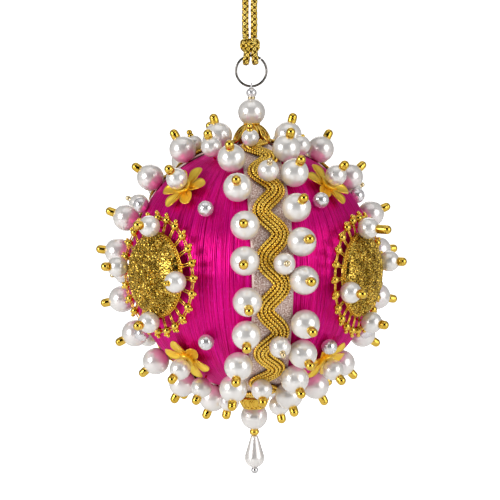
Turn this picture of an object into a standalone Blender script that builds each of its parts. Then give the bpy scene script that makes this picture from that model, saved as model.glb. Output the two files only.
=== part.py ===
"""Satin ball ornament, hanging by its cord.

A rigid ball wound with satin floss carries three ribbons from pole to pole. Each ribbon has a
wavy braid along its middle and a row of pinned pearls along each edge. Each panel between two
ribbons has a beaded rosette, two flowers and single pinned pearls. A cap, a pearl, a bead and a
ring stand on top, and a cap, a pearl, a rondelle and a drop hang below.

Metres, +Z up. The origin is the point where the cord loop hangs. Angles are in degrees: azimuth 0
faces -Y and grows towards +X, and latitude 90 is the top of the ball. A place on a ribbon is
given by its angle along the ribbon, 0 at mid-height and 90 at the top, and by its distance
sideways from the ribbon's middle line, positive towards growing azimuth.
"""

import math

import bmesh
import bpy
from mathutils import Matrix, Vector

# ---------------------------------------------------------------- driving dimensions

GAP = 0.0003                      # clearance between pieces that touch
HANG_DROP = 0.098                 # ball centre below the top of the cord loop
BALL_RADIUS = 0.0372              # wound ball
SEAT = BALL_RADIUS + GAP          # radius at which pieces rest on the ball

RIBBON_HALF_WIDTH = 0.0057
RIBBON_THICKNESS = 0.0010
RIBBON_END = 80.0                 # angle along the ribbon where it ends, top and bottom
RIBBON_TOP = SEAT + RIBBON_THICKNESS

BRAID_HALF_WIDTH = 0.0024
BRAID_THICKNESS = 0.0012
BRAID_SWING = 0.0024              # side-to-side swing of the braid's middle line
BRAID_WAVE = 21.0                 # angle along the ribbon for one full wave
BRAID_PHASE = 2.0
BRAID_END = 77.0

BIG_PEARL = 0.0040                # radii of the three bead sizes
MID_PEARL = 0.0030
BIG_PEARL_AT = 0.0428             # distance of the pearls' centres from the ball's centre
BRAID_PEARL_AT = 0.0421
FLOWER_PEARL_AT = 0.0426
ROSETTE_PEARL_AT = 0.0436
PANEL_PEARL_PIN = 0.0010          # pin showing under a pearl near the caps
CAPSULE_RADIUS = 0.0013           # gold tube with a round head on top of a pearl
CAPSULE_LENGTH = 0.0028           # beyond an 8 mm pearl
MID_CAPSULE_LENGTH = 0.0023       # beyond a 6 mm pearl
BEAD_HEAD_RADIUS = 0.0009         # plain bead head on a braid pearl
BEAD_HEAD_LENGTH = 0.0016
PIN_RADIUS = 0.00035
BRAID_PEARL_PIN = 0.0001          # pin showing under a braid pearl
EDGING_HALF_WIDTH = 0.0005        # narrow woven edging that carries a row of pearls
EDGING_THICKNESS = 0.0006

ROSETTE_RADIUS = 0.0175
ROSETTE_DOME_RADIUS = 0.0117
ROSETTE_DOME_TOP = 0.0426         # heights above the ball's centre
ROSETTE_RIM_TOP = 0.0380
ROSETTE_RIM_BOTTOM = 0.0371

FLOWER_RADIUS = 0.0073
FLOWER_WAIST = 0.0030             # radius at the notch between two petals
FLOWER_THICKNESS = 0.0007
FLOWER_BASE = SEAT + 0.0003
PETALS = 6

CAP_RADIUS = 0.0058
CAP_TOP = 0.0431
TOP_PEARL_AT = 0.0475             # heights above the ball's centre
TOP_BEAD_AT = 0.0530
TOP_BEAD_RADIUS = 0.00145
EYE_AT = 0.05495
EYE_RADIUS = 0.00095
EYE_WIRE = 0.00025
RING_AT = 0.0596
RING_RADIUS = 0.0046
RING_WIRE = 0.00036

BOTTOM_CAP_TOP = 0.0376           # depths below the ball's centre
BOTTOM_CAP_LOW = 0.0419
BOTTOM_CAP_RADIUS = 0.0043
BOTTOM_PEARL_AT = 0.0462
RONDELLE_TOP = 0.0505
RONDELLE_LOW = 0.0522
RONDELLE_RADIUS = 0.0015
DROP_TOP = 0.0525
DROP_LOW = 0.0619
DROP_RADIUS = 0.0030
END_BEAD_AT = 0.0632
END_BEAD_RADIUS = 0.00105

CORD_RADIUS = 0.00085
KNOT_AT = 0.0672                  # height of the knot's middle above the ball's centre
KNOT_SIZE = (0.0026, 0.0017, 0.0022)
WRAP_SIDES = (-0.0013, 0.0011)    # the two wraps of cord over the ring
CORD_LENGTH_STEP = 0.0033

PEARL_SIDES = 7
PEARL_LOWEST_RING = 130.0         # angle from a pearl's top to its lowest ring of points
PEARL_ROW_STEPS = 20

# azimuth of each ribbon
RIBBONS = {"front": 8.5, "left": -108.0, "right": 120.0}

# pearls of each row: (angle along the ribbon, distance from its middle in mm)
PEARL_ROWS = {
    ("front", "left"): ((56, -9.3), (39, -9.0), (22, -8.1), (8, -8.6), (-8, -8.0), (-22, -7.95),
                        (-38, -9.2), (-54, -9.6)),
    ("front", "right"): ((62, 7.9), (46, 8.1), (29, 7.8), (15, 7.9), (0, 8.3), (-18, 8.9),
                         (-32, 8.9), (-47, 7.9), (-62, 7.8)),
    ("left", "near"): ((79, 8.3), (60, 8.1), (42, 8.0), (22, 8.8), (7, 10.2), (-14, 9.4),
                       (-30, 9.8), (-45, 8.4), (-60, 8.0), (-75, 8.0)),
    ("left", "far"): ((69, -8.3), (52, -8.6), (36, -8.0), (21, -8.4), (6, -8.8), (-10, -8.2),
                      (-26, -8.5), (-42, -8.9), (-58, -8.4), (-73, -8.2)),
    ("right", "near"): ((79, -8.3), (58, -8.0), (41, -8.0), (22, -8.4), (4, -9.2), (-15, -10.0),
                        (-33, -9.0), (-49, -8.4), (-65, -8.2)),
    ("right", "far"): ((66, 8.2), (50, 8.5), (38, 8.3), (23, 8.0), (7, 8.7), (-9, 8.4),
                       (-24, 8.1), (-40, 8.6), (-56, 8.8), (-72, 8.3)),
}

# pearls on each braid: (angle along the ribbon, distance from its middle in mm)
BRAID_PEARLS = {
    "front": ((70, -2.6), (46, 0.3), (6.5, 1.9), (-27, 1.9), (-52, -1.6)),
    "left": ((64, 0.8), (27, -0.4), (-4, 1.6), (-33, -0.9), (-61, 1.2)),
    "right": ((54, 0.4), (32, -1.4), (2, 1.2), (-28, 0.7), (-55, -1.0)),
}

# rosettes: (azimuth, latitude)
ROSETTES = {"left": (-47.8, 0.8), "right": (55.2, -0.6), "back": (186.0, 0.0)}

# pins of each rosette: (turn about its middle from the top, angle around the ball from its middle)
ROSETTE_PINS = {
    "left": {"top": (-6, 19.0), "left": (83, 17.7), "bottom": (186, 18.0), "right": (266, 18.0)},
    "right": {"top": (8, 18.6), "left": (107, 18.0), "bottom": (182, 18.5), "right": (289, 17.7)},
    "back": {"top": (-8, 18.2), "left": (84, 17.9), "bottom": (176, 18.4), "right": (267, 18.0)},
}

# flowers: (azimuth, latitude, turn of the petals)
FLOWERS = {
    "upper_left": (-42.5, 41.1, 12.0),
    "lower_left": (-40.5, -39.5, 24.0),
    "upper_right": (50.2, 42.0, 34.0),
    "lower_right": (46.5, -41.5, 6.0),
    "upper_back": (186.0, 42.0, 18.0),
    "lower_back": (186.0, -41.0, 40.0),
}

# single pearls pinned near the caps: (azimuth, latitude, radius at which the pin ends)
PANEL_PEARLS = {
    "upper_left": (-39.0, 63.0, SEAT),
    "upper_right": (50.0, 63.5, SEAT),
    "upper_back": (186.0, 62.0, SEAT),
    "lower_left": (-40.0, -54.5, SEAT),
    "bottom_left": (-40.0, -73.5, SEAT),
    "bottom_right": (36.0, -72.5, RIBBON_TOP + GAP),
    "lower_back": (186.0, -60.0, SEAT),
}

# route of the cord loop from one side of the knot to the other: (x, z) below the hanging point
CORD_ROUTE = (
    (-0.0016, -0.0284),
    (-0.0017, -0.0235),
    (-0.0016, -0.0185),
    (-0.0019, -0.0135),
    (-0.0028, -0.0085),
    (-0.0036, -0.0040),
    (-0.0026, -0.0005),
    (0.0000, 0.00075),
    (0.0026, -0.0006),
    (0.0034, -0.0042),
    (0.0025, -0.0088),
    (0.0014, -0.0138),
    (0.0010, -0.0187),
    (0.0010, -0.0236),
    (0.0009, -0.0284),
)

# colours: (red, green, blue, roughness, metallic)
LOOKS = {
    "satin_floss": (0.55, 0.0, 0.16, 0.4, 0.0),
    "ribbon": (0.55, 0.36, 0.33, 0.45, 0.0),
    "gold_braid": (0.72, 0.46, 0.07, 0.35, 1.0),
    "gold": (0.80, 0.52, 0.12, 0.15, 1.0),
    "pearl": (0.85, 0.82, 0.80, 0.15, 0.0),
    "silver": (0.75, 0.74, 0.72, 0.15, 1.0),
    "gold_cord": (0.70, 0.45, 0.08, 0.4, 0.8),
}


# ---------------------------------------------------------------- scene and helpers

def clear_scene():
    for item in list(bpy.data.objects):
        bpy.data.objects.remove(item, do_unlink=True)


def new_collection(name):
    collection = bpy.data.collections.new(name)
    bpy.context.scene.collection.children.link(collection)
    return collection


def make_materials():
    made = {}
    for name, (red, green, blue, roughness, metallic) in LOOKS.items():
        material = bpy.data.materials.new(name)
        material.use_nodes = True
        shader = material.node_tree.nodes["Principled BSDF"]
        shader.inputs["Base Color"].default_value = (red, green, blue, 1.0)
        shader.inputs["Roughness"].default_value = roughness
        shader.inputs["Metallic"].default_value = metallic
        made[name] = material
    return made


def direction(azimuth, latitude):
    """Unit vector from the ball's centre."""
    turn, rise = math.radians(azimuth), math.radians(latitude)
    return Vector((math.sin(turn) * math.cos(rise), -math.cos(turn) * math.cos(rise), math.sin(rise)))


def ribbon_direction(azimuth, along, side_share):
    """Unit vector to a place on a ribbon; side_share is the sine of its angle off the middle."""
    outward = direction(azimuth, 0.0)
    sideways = direction(azimuth + 90.0, 0.0)
    rise = math.radians(along)
    in_plane = outward * math.cos(rise) + Vector((0.0, 0.0, math.sin(rise)))
    return in_plane * math.sqrt(1.0 - side_share ** 2) + sideways * side_share


def add_object(name, mesh, look, parent, collection):
    item = bpy.data.objects.new(name, mesh)
    collection.objects.link(item)
    if look is not None and not mesh.materials:
        mesh.materials.append(look)
    item.parent = parent
    return item


def stand_on_ball(item, outward, distance, turn=0.0):
    """Place an object with its +Z pointing away from the ball's centre."""
    item.rotation_euler = (outward.to_track_quat("Z", "Y").to_matrix()
                           @ Matrix.Rotation(math.radians(turn), 3, "Z")).to_euler()
    item.location = outward * distance


def profile_mesh(name, profile):
    """Open line of (radius, height) points, listed from top to bottom."""
    mesh = bpy.data.meshes.new(name)
    points = [(radius, 0.0, height) for radius, height in profile]
    mesh.from_pydata(points, [(i, i + 1) for i in range(len(points) - 1)], [])
    return mesh


def turn_about_z(item, segments):
    screw = item.modifiers.new("turn", "SCREW")
    screw.axis = "Z"
    screw.angle = 2.0 * math.pi
    screw.steps = segments
    screw.render_steps = segments
    screw.use_merge_vertices = True
    screw.merge_threshold = 0.00001
    screw.use_smooth_shade = True


def turned(name, profile, segments, look, parent, collection):
    item = add_object(name, profile_mesh(name, profile), look, parent, collection)
    turn_about_z(item, segments)
    return item


def baked_mesh(item):
    """Evaluated mesh of an object, which is then removed."""
    bpy.context.view_layer.update()
    graph = bpy.context.evaluated_depsgraph_get()
    mesh = bpy.data.meshes.new_from_object(item.evaluated_get(graph))
    bpy.data.objects.remove(item, do_unlink=True)
    return mesh


def arc_profile(radius, centre, first, last, steps):
    """Points on a circle about (0, centre), by angle from the top."""
    points = []
    for i in range(steps + 1):
        angle = math.radians(first + (last - first) * i / steps)
        points.append((radius * math.sin(angle), centre + radius * math.cos(angle)))
    return points


def pearl_profile(radius, head_radius, head_length, pin_length):
    """Pearl with a round-headed tube on top and a short pin below, about the pearl's centre."""
    top = radius + head_length
    neck = math.degrees(math.asin(head_radius / radius))
    profile = [(0.0, top), (head_radius * 0.95, top - head_radius * 0.55)]
    profile += arc_profile(radius, 0.0, neck, PEARL_LOWEST_RING, 3)
    profile += [(PIN_RADIUS, -radius - pin_length), (0.0, -radius - pin_length)]
    return profile


def ball_surface(name, columns, rows, place, thickness, look, parent, collection):
    """Grid bent onto the ball by place(along_share, across_share), thickened outwards."""
    mesh = bpy.data.meshes.new(name)
    grid = bmesh.new()
    bmesh.ops.create_grid(grid, x_segments=columns, y_segments=rows, size=0.5)
    for vertex in grid.verts:
        vertex.co = place(0.5 - vertex.co.x, vertex.co.y * 2.0)
    grid.to_mesh(mesh)
    grid.free()
    item = add_object(name, mesh, look, parent, collection)
    thicken(item, thickness)
    return item


def thicken(item, thickness):
    solid = item.modifiers.new("thickness", "SOLIDIFY")
    solid.thickness = thickness
    solid.offset = 1.0


def union_with(item, tool):
    """Join a tool object into an item; the tool stays as a hidden wire object."""
    join = item.modifiers.new("join", "BOOLEAN")
    join.operation = "UNION"
    join.solver = "EXACT"
    join.object = tool
    tool.hide_render = True
    tool.display_type = "WIRE"


def copies_mesh(name, source, places):
    """One mesh with a copy of source at each matrix of places."""
    joined = bmesh.new()
    for matrix in places:
        piece = source.copy()
        piece.transform(matrix)
        joined.from_mesh(piece)
        bpy.data.meshes.remove(piece)
    mesh = bpy.data.meshes.new(name)
    joined.to_mesh(mesh)
    joined.free()
    return mesh


def outward_matrix(outward, distance):
    return Matrix.Translation(outward * distance) @ outward.to_track_quat("Z", "Y").to_matrix().to_4x4()


# ---------------------------------------------------------------- ball, ribbons and braids

def make_ball(looks, parent, parts):
    mesh = bpy.data.meshes.new("satin_ball")
    ball = bmesh.new()
    bmesh.ops.create_uvsphere(ball, u_segments=28, v_segments=14, radius=BALL_RADIUS)
    ball.to_mesh(mesh)
    ball.free()
    mesh.shade_smooth()
    add_object("satin_ball", mesh, looks["satin_floss"], parent, parts)


def make_ribbon(name, azimuth, looks, parent, parts):
    def place(along_share, across_share):
        along = RIBBON_END * (2.0 * along_share - 1.0)
        side = RIBBON_HALF_WIDTH * across_share / SEAT
        return ribbon_direction(azimuth, along, side) * SEAT
    ball_surface("ribbon_" + name, 24, 2, place, RIBBON_THICKNESS, looks["ribbon"], parent, parts)


def braid_side(along):
    """Sideways place of the braid's middle line."""
    return BRAID_SWING * math.cos(2.0 * math.pi * (along + BRAID_PHASE) / BRAID_WAVE)


def make_braid(name, azimuth, looks, parent, parts, tools):
    inner = RIBBON_TOP + GAP

    def place(along_share, across_share):
        along = BRAID_END * (2.0 * along_share - 1.0)
        side = (braid_side(along) + BRAID_HALF_WIDTH * across_share) / inner
        return ribbon_direction(azimuth, along, side) * inner
    braid = ball_surface("braid_" + name, 48, 1, place, BRAID_THICKNESS, looks["gold_braid"],
                         parent, parts)

    profile = pearl_profile(MID_PEARL, BEAD_HEAD_RADIUS, BEAD_HEAD_LENGTH, BRAID_PEARL_PIN)
    pearl = baked_mesh(turned("braid_pearl", profile, PEARL_SIDES, None, None, tools))
    places = []
    for along, side in BRAID_PEARLS[name]:
        outward = ribbon_direction(azimuth, along, 0.001 * side / BRAID_PEARL_AT)
        places.append(outward_matrix(outward, BRAID_PEARL_AT))
    pearls = add_object("braid_pearls_" + name, copies_mesh("braid_pearls_" + name, pearl, places),
                        looks["pearl"], parent, tools)
    union_with(braid, pearls)


# ---------------------------------------------------------------- pearl rows

def row_side(row, along):
    """Distance of a row's pearl centres from its ribbon's middle, smoothly between pearls."""
    if along >= row[0][0]:
        return 0.001 * row[0][1]
    for (upper, upper_side), (lower, lower_side) in zip(row, row[1:]):
        if along >= lower:
            share = (1.0 - math.cos(math.pi * (upper - along) / (upper - lower))) / 2.0
            return 0.001 * (upper_side + (lower_side - upper_side) * share)
    return 0.001 * row[-1][1]


def make_pearl_row(ribbon, edge, looks, parent, parts, tools):
    """Narrow edging along a ribbon's edge with the row's pinned pearls standing on it."""
    name = "pearl_row_" + ribbon + "_" + edge
    row = PEARL_ROWS[(ribbon, edge)]
    azimuth = RIBBONS[ribbon]
    top, bottom = row[0][0] + 2.0, row[-1][0] - 2.0

    def place(along_share, across_share):
        along = bottom + (top - bottom) * along_share
        side = row_side(row, along) / BIG_PEARL_AT + EDGING_HALF_WIDTH * across_share / SEAT
        return ribbon_direction(azimuth, along, side) * SEAT
    edging = ball_surface(name, PEARL_ROW_STEPS, 1, place, EDGING_THICKNESS, looks["pearl"],
                          parent, parts)

    pin_length = BIG_PEARL_AT - BIG_PEARL - SEAT - EDGING_THICKNESS / 2.0
    profile = pearl_profile(BIG_PEARL, CAPSULE_RADIUS, CAPSULE_LENGTH, pin_length)
    pearl = baked_mesh(turned("row_pearl", profile, PEARL_SIDES, None, None, tools))
    places = []
    for along, side in row:
        outward = ribbon_direction(azimuth, along, 0.001 * side / BIG_PEARL_AT)
        places.append(outward_matrix(outward, BIG_PEARL_AT))
    pearls = add_object(name + "_pearls", copies_mesh(name + "_pearls", pearl, places),
                        looks["pearl"], parent, tools)
    union_with(edging, pearls)


def pinned_pearl(name, outward, distance, foot, looks, parent, parts):
    """One 6 mm pearl whose pin ends at the distance foot from the ball's centre."""
    profile = pearl_profile(MID_PEARL, CAPSULE_RADIUS, MID_CAPSULE_LENGTH, distance - MID_PEARL - foot)
    pearl = turned(name, profile, PEARL_SIDES, looks["pearl"], parent, parts)
    stand_on_ball(pearl, outward, distance)


# ---------------------------------------------------------------- rosettes and flowers

def make_rosette(name, looks, parent, parts):
    """Glitter dome in a flat round rim, its middle resting on the ball."""
    azimuth, latitude = ROSETTES[name]
    dome_rise = ROSETTE_DOME_TOP - ROSETTE_RIM_TOP
    profile = [
        (0.0, ROSETTE_DOME_TOP),
        (ROSETTE_DOME_RADIUS * 0.5, ROSETTE_DOME_TOP - dome_rise * 0.22),
        (ROSETTE_DOME_RADIUS * 0.87, ROSETTE_DOME_TOP - dome_rise * 0.68),
        (ROSETTE_DOME_RADIUS, ROSETTE_RIM_TOP),
        (ROSETTE_RADIUS, ROSETTE_RIM_TOP - 0.0002),
        (ROSETTE_RADIUS, ROSETTE_RIM_BOTTOM),
        (ROSETTE_RADIUS * 0.5, ROSETTE_RIM_BOTTOM),
        (0.0, SEAT + GAP),
    ]
    middle = direction(azimuth, latitude)
    rosette = turned("rosette_" + name, profile, 24, looks["gold"], parent, parts)
    stand_on_ball(rosette, middle, 0.0)

    up = (Vector((0.0, 0.0, 1.0)) - middle * middle.z).normalized()
    for corner, (turn, lean_degrees) in ROSETTE_PINS[name].items():
        around = Matrix.Rotation(math.radians(turn), 3, middle) @ up
        lean = math.radians(lean_degrees)
        outward = middle * math.cos(lean) + around * math.sin(lean)
        foot = (ROSETTE_RIM_TOP + GAP) / math.cos(lean)
        pinned_pearl("rosette_pearl_" + name + "_" + corner, outward, ROSETTE_PEARL_AT, foot,
                     looks, parent, parts)


def petal_reach(angle):
    """Radius of the flower's outline at an angle, in radians."""
    lobe = abs(math.cos(PETALS * angle / 2.0))
    return FLOWER_WAIST + (FLOWER_RADIUS - FLOWER_WAIST) * lobe ** 0.8


def make_flower(name, looks, parent, parts):
    """Six cupped petals pressed from one sheet."""
    azimuth, latitude, turn = FLOWERS[name]
    mesh = bpy.data.meshes.new("flower_" + name)
    disc = bmesh.new()
    spokes = 4 * PETALS
    centre = disc.verts.new((0.0, 0.0, FLOWER_BASE))
    rings = []
    for share, lift in ((0.55, 0.0), (1.0, 0.0009)):
        ring = []
        for i in range(spokes):
            angle = 2.0 * math.pi * i / spokes
            reach = petal_reach(angle) * share
            place = (reach * math.cos(angle), reach * math.sin(angle), FLOWER_BASE + lift)
            ring.append(disc.verts.new(place))
        rings.append(ring)
    for i in range(spokes):
        following = (i + 1) % spokes
        disc.faces.new((centre, rings[0][i], rings[0][following]))
        disc.faces.new((rings[0][i], rings[1][i], rings[1][following], rings[0][following]))
    disc.to_mesh(mesh)
    disc.free()
    flower = add_object("flower_" + name, mesh, looks["gold"], parent, parts)
    thicken(flower, FLOWER_THICKNESS)
    outward = direction(azimuth, latitude)
    stand_on_ball(flower, outward, 0.0, turn)
    foot = FLOWER_BASE + FLOWER_THICKNESS + GAP
    pinned_pearl("flower_pearl_" + name, outward, FLOWER_PEARL_AT, foot, looks, parent, parts)


# ---------------------------------------------------------------- top and bottom fittings

def make_top_cap(looks, parent, parts):
    """Bead cap of six drooping petals on a short pin that stands on the ball."""
    profile = [
        (0.0, CAP_TOP), (CAP_RADIUS * 0.42, CAP_TOP - 0.0002), (CAP_RADIUS * 0.78, CAP_TOP - 0.0016),
        (CAP_RADIUS, CAP_TOP - 0.0038), (CAP_RADIUS * 0.93, CAP_TOP - 0.0041),
        (CAP_RADIUS * 0.66, CAP_TOP - 0.0022), (0.0010, CAP_TOP - 0.0012),
        (0.0010, SEAT + GAP), (0.0, SEAT + GAP),
    ]
    mesh = baked_mesh(turned("cap_guide", profile, 24, looks["gold"], None, parts))
    for vertex in mesh.vertices:
        radius = math.hypot(vertex.co.x, vertex.co.y)
        spread = max(0.0, radius / CAP_RADIUS - 0.6)
        wave = math.cos(PETALS * math.atan2(vertex.co.y, vertex.co.x))
        vertex.co.x *= 1.0 + 0.35 * spread * wave
        vertex.co.y *= 1.0 + 0.35 * spread * wave
    add_object("top_cap", mesh, looks["gold"], parent, parts)


def make_bead(name, radius, height, segments, rings, look, parent, parts):
    bead = turned(name, arc_profile(radius, 0.0, 0.0, 180.0, rings), segments, look, parent, parts)
    for end in (0, -1):
        bead.data.vertices[end].co.x = 0.0
    bead.location.z = height
    return bead


def torus_mesh(name, major, minor, major_segments, minor_segments):
    bpy.ops.mesh.primitive_torus_add(major_radius=major, minor_radius=minor,
                                     major_segments=major_segments, minor_segments=minor_segments)
    item = bpy.context.object
    mesh = item.data
    mesh.name = name
    bpy.data.objects.remove(item, do_unlink=True)
    mesh.transform(Matrix.Rotation(math.pi / 2.0, 4, "X"))
    mesh.shade_smooth()
    return mesh


def make_ring_and_eye(looks, parent, parts, tools):
    """Bead with a wire eye on top, standing across the ring's wire, and the ring in the eye."""
    bead = make_bead("top_bead", TOP_BEAD_RADIUS, TOP_BEAD_AT, 12, 7, looks["silver"], parent, parts)
    eye_mesh = torus_mesh("eye", EYE_RADIUS, EYE_WIRE, 14, 6)
    eye_mesh.transform(Matrix.Rotation(math.pi / 2.0, 4, "Z"))
    eye = add_object("eye_tool", eye_mesh, looks["silver"], parent, tools)
    eye.location.z = EYE_AT
    union_with(bead, eye)
    ring_mesh = torus_mesh("ring", RING_RADIUS, RING_WIRE, 24, 6)
    ring = add_object("ring", ring_mesh, looks["silver"], parent, parts)
    ring.location.z = RING_AT


def make_bottom(looks, parent, parts):
    cap = [
        (0.0, -BOTTOM_CAP_TOP), (BOTTOM_CAP_RADIUS * 0.7, -BOTTOM_CAP_TOP),
        (BOTTOM_CAP_RADIUS, -BOTTOM_CAP_TOP - 0.0012),
        (BOTTOM_CAP_RADIUS * 0.88, -BOTTOM_CAP_TOP - 0.0031),
        (BOTTOM_CAP_RADIUS * 0.5, -BOTTOM_CAP_LOW), (0.0, -BOTTOM_CAP_LOW),
    ]
    turned("bottom_cap", cap, 20, looks["gold"], parent, parts)
    make_bead("bottom_pearl", BIG_PEARL, -BOTTOM_PEARL_AT, 12, 7, looks["pearl"], parent, parts)
    middle = (RONDELLE_TOP + RONDELLE_LOW) / 2.0
    rondelle = [
        (0.0, -RONDELLE_TOP), (RONDELLE_RADIUS * 0.75, -RONDELLE_TOP), (RONDELLE_RADIUS, -middle),
        (RONDELLE_RADIUS * 0.75, -RONDELLE_LOW), (0.0, -RONDELLE_LOW),
    ]
    turned("rondelle", rondelle, 12, looks["gold"], parent, parts)
    length = DROP_LOW - DROP_TOP
    drop = [(0.0, -DROP_TOP)]
    for share, width in ((0.03, 0.38), (0.62, 0.96), (0.73, 1.0), (0.86, 0.85), (0.95, 0.52)):
        drop.append((DROP_RADIUS * width, -DROP_TOP - length * share))
    drop.append((0.0, -DROP_LOW))
    turned("drop", drop, 14, looks["pearl"], parent, parts)
    make_bead("end_bead", END_BEAD_RADIUS, -END_BEAD_AT, 10, 6, looks["silver"], parent, parts)


# ---------------------------------------------------------------- cord

def smooth_route(route, step):
    """Points at about equal steps along a smooth curve through the route's points."""
    dense = []
    for i in range(len(route) - 1):
        before = route[max(i - 1, 0)]
        start, end = route[i], route[i + 1]
        after = route[min(i + 2, len(route) - 1)]
        for k in range(12):
            t = k / 12.0
            dense.append(0.5 * (2.0 * start + (end - before) * t
                                + (2.0 * before - 5.0 * start + 4.0 * end - after) * t ** 2
                                + (3.0 * start - before - 3.0 * end + after) * t ** 3))
    dense.append(route[-1])
    lengths = [0.0]
    for first, second in zip(dense, dense[1:]):
        lengths.append(lengths[-1] + (second - first).length)
    count = max(2, round(lengths[-1] / step))
    points, k = [], 0
    for i in range(count + 1):
        target = lengths[-1] * i / count
        while k < len(lengths) - 2 and lengths[k + 1] < target:
            k += 1
        share = (target - lengths[k]) / (lengths[k + 1] - lengths[k])
        points.append(dense[k].lerp(dense[k + 1], min(share, 1.0)))
    return points


def tube(name, points, radius, resolution, look, collection):
    curve = bpy.data.curves.new(name, "CURVE")
    curve.dimensions = "3D"
    curve.bevel_depth = radius
    curve.bevel_resolution = resolution
    curve.use_fill_caps = True
    line = curve.splines.new("POLY")
    line.points.add(len(points) - 1)
    for point, place in zip(line.points, points):
        point.co = (place.x, place.y, place.z, 1.0)
    curve.materials.append(look)
    item = bpy.data.objects.new(name, curve)
    collection.objects.link(item)
    return item


def make_cord_loop(looks, parts):
    route = [Vector((x, 0.0, z)) for x, z in CORD_ROUTE]
    tube("cord_loop", smooth_route(route, CORD_LENGTH_STEP), CORD_RADIUS, 2, looks["gold_cord"], parts)


def make_cord_knot(looks, parent, parts, tools):
    """Knot above the ring, with two wraps of cord that go round the ring's wire."""
    mesh = bpy.data.meshes.new("cord_knot")
    lump = bmesh.new()
    bmesh.ops.create_uvsphere(lump, u_segments=12, v_segments=6, radius=1.0)
    bmesh.ops.scale(lump, vec=KNOT_SIZE, verts=lump.verts)
    bmesh.ops.translate(lump, vec=(0.0, 0.0, KNOT_AT), verts=lump.verts)
    lump.to_mesh(mesh)
    lump.free()
    mesh.shade_smooth()
    knot = add_object("cord_knot", mesh, looks["gold_cord"], parent, parts)
    turn_radius = RING_WIRE + GAP + CORD_RADIUS
    for i, side in enumerate(WRAP_SIDES):
        wire_height = RING_AT + math.sqrt(RING_RADIUS ** 2 - side ** 2)
        points = [Vector((side, -turn_radius, KNOT_AT - 0.0006))]
        for k in range(7):
            angle = math.pi * k / 6.0
            points.append(Vector((side, -turn_radius * math.cos(angle),
                                  wire_height - turn_radius * math.sin(angle))))
        points.append(Vector((side, turn_radius, KNOT_AT - 0.0006)))
        wrap = tube("wrap_guide", points, CORD_RADIUS, 2, looks["gold_cord"], tools)
        wrap_mesh = baked_mesh(wrap)
        welded = bmesh.new()
        welded.from_mesh(wrap_mesh)
        bmesh.ops.remove_doubles(welded, verts=welded.verts, dist=0.00001)
        welded.to_mesh(wrap_mesh)
        welded.free()
        union_with(knot, add_object("wrap_tool_%d" % i, wrap_mesh, looks["gold_cord"], parent, tools))


# ---------------------------------------------------------------- the whole ornament

def build():
    clear_scene()
    looks = make_materials()
    parts = new_collection("satin_ball_ornament")
    tools = new_collection("tools")
    centre = bpy.data.objects.new("ball_centre", None)
    parts.objects.link(centre)
    centre.location = (0.0, 0.0, -HANG_DROP)

    make_ball(looks, centre, parts)
    for name, azimuth in RIBBONS.items():
        make_ribbon(name, azimuth, looks, centre, parts)
        make_braid(name, azimuth, looks, centre, parts, tools)
    for ribbon, edge in PEARL_ROWS:
        make_pearl_row(ribbon, edge, looks, centre, parts, tools)
    for name in ROSETTES:
        make_rosette(name, looks, centre, parts)
    for name in FLOWERS:
        make_flower(name, looks, centre, parts)
    for name, (azimuth, latitude, foot) in PANEL_PEARLS.items():
        distance = foot + PANEL_PEARL_PIN + MID_PEARL
        pinned_pearl("panel_pearl_" + name, direction(azimuth, latitude), distance, foot,
                     looks, centre, parts)
    make_top_cap(looks, centre, parts)
    make_bead("top_pearl", BIG_PEARL, TOP_PEARL_AT, 12, 7, looks["pearl"], centre, parts)
    make_ring_and_eye(looks, centre, parts, tools)
    make_bottom(looks, centre, parts)
    make_cord_knot(looks, centre, parts, tools)
    make_cord_loop(looks, parts)


build()
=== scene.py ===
"""Looks of the satin ball ornament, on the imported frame.

Metres, +Z up, origin where the cord loop hangs. Angles are in degrees: azimuth 0 faces -Y and
grows towards +X. A place on a ribbon is its angle along the ribbon, 0 at mid-height, and its
distance sideways from the ribbon's middle line, positive towards growing azimuth.
"""

import math

import bpy
import numpy as np
from mathutils import Matrix, Vector


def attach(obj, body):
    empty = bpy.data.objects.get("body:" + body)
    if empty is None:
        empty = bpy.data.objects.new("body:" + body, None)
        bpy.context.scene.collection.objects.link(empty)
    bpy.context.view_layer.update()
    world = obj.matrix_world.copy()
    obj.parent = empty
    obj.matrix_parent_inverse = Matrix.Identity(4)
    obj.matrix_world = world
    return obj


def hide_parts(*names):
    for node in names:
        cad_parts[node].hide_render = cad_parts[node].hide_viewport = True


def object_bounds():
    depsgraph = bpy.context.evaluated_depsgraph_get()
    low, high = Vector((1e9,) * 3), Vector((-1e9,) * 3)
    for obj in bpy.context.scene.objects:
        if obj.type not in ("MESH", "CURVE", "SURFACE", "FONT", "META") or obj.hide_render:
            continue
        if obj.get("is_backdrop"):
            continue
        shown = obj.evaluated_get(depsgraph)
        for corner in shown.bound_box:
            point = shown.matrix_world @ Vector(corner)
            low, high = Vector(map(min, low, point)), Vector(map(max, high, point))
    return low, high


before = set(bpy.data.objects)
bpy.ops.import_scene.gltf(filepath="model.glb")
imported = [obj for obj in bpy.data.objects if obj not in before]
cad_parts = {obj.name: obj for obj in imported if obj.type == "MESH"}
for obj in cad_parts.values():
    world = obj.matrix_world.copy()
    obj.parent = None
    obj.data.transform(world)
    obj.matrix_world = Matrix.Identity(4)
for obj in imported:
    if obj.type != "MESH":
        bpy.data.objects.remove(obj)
cad_low, cad_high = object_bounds()

# ---------------------------------------------------------------- sizes of the visible pieces
# Most are as in part.py. Some were fitted to the photograph here and differ from it.

CENTRE = Vector((0.0, 0.0, -0.098))
MIDDLE = np.array(CENTRE)
SEAT = 0.0375
WOUND_RADIUS = 0.0371              # the ball under its floss strands
FLOSS_AT = 0.03728
ROUTE_STEP = 0.00022               # between the points of a cord

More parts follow.
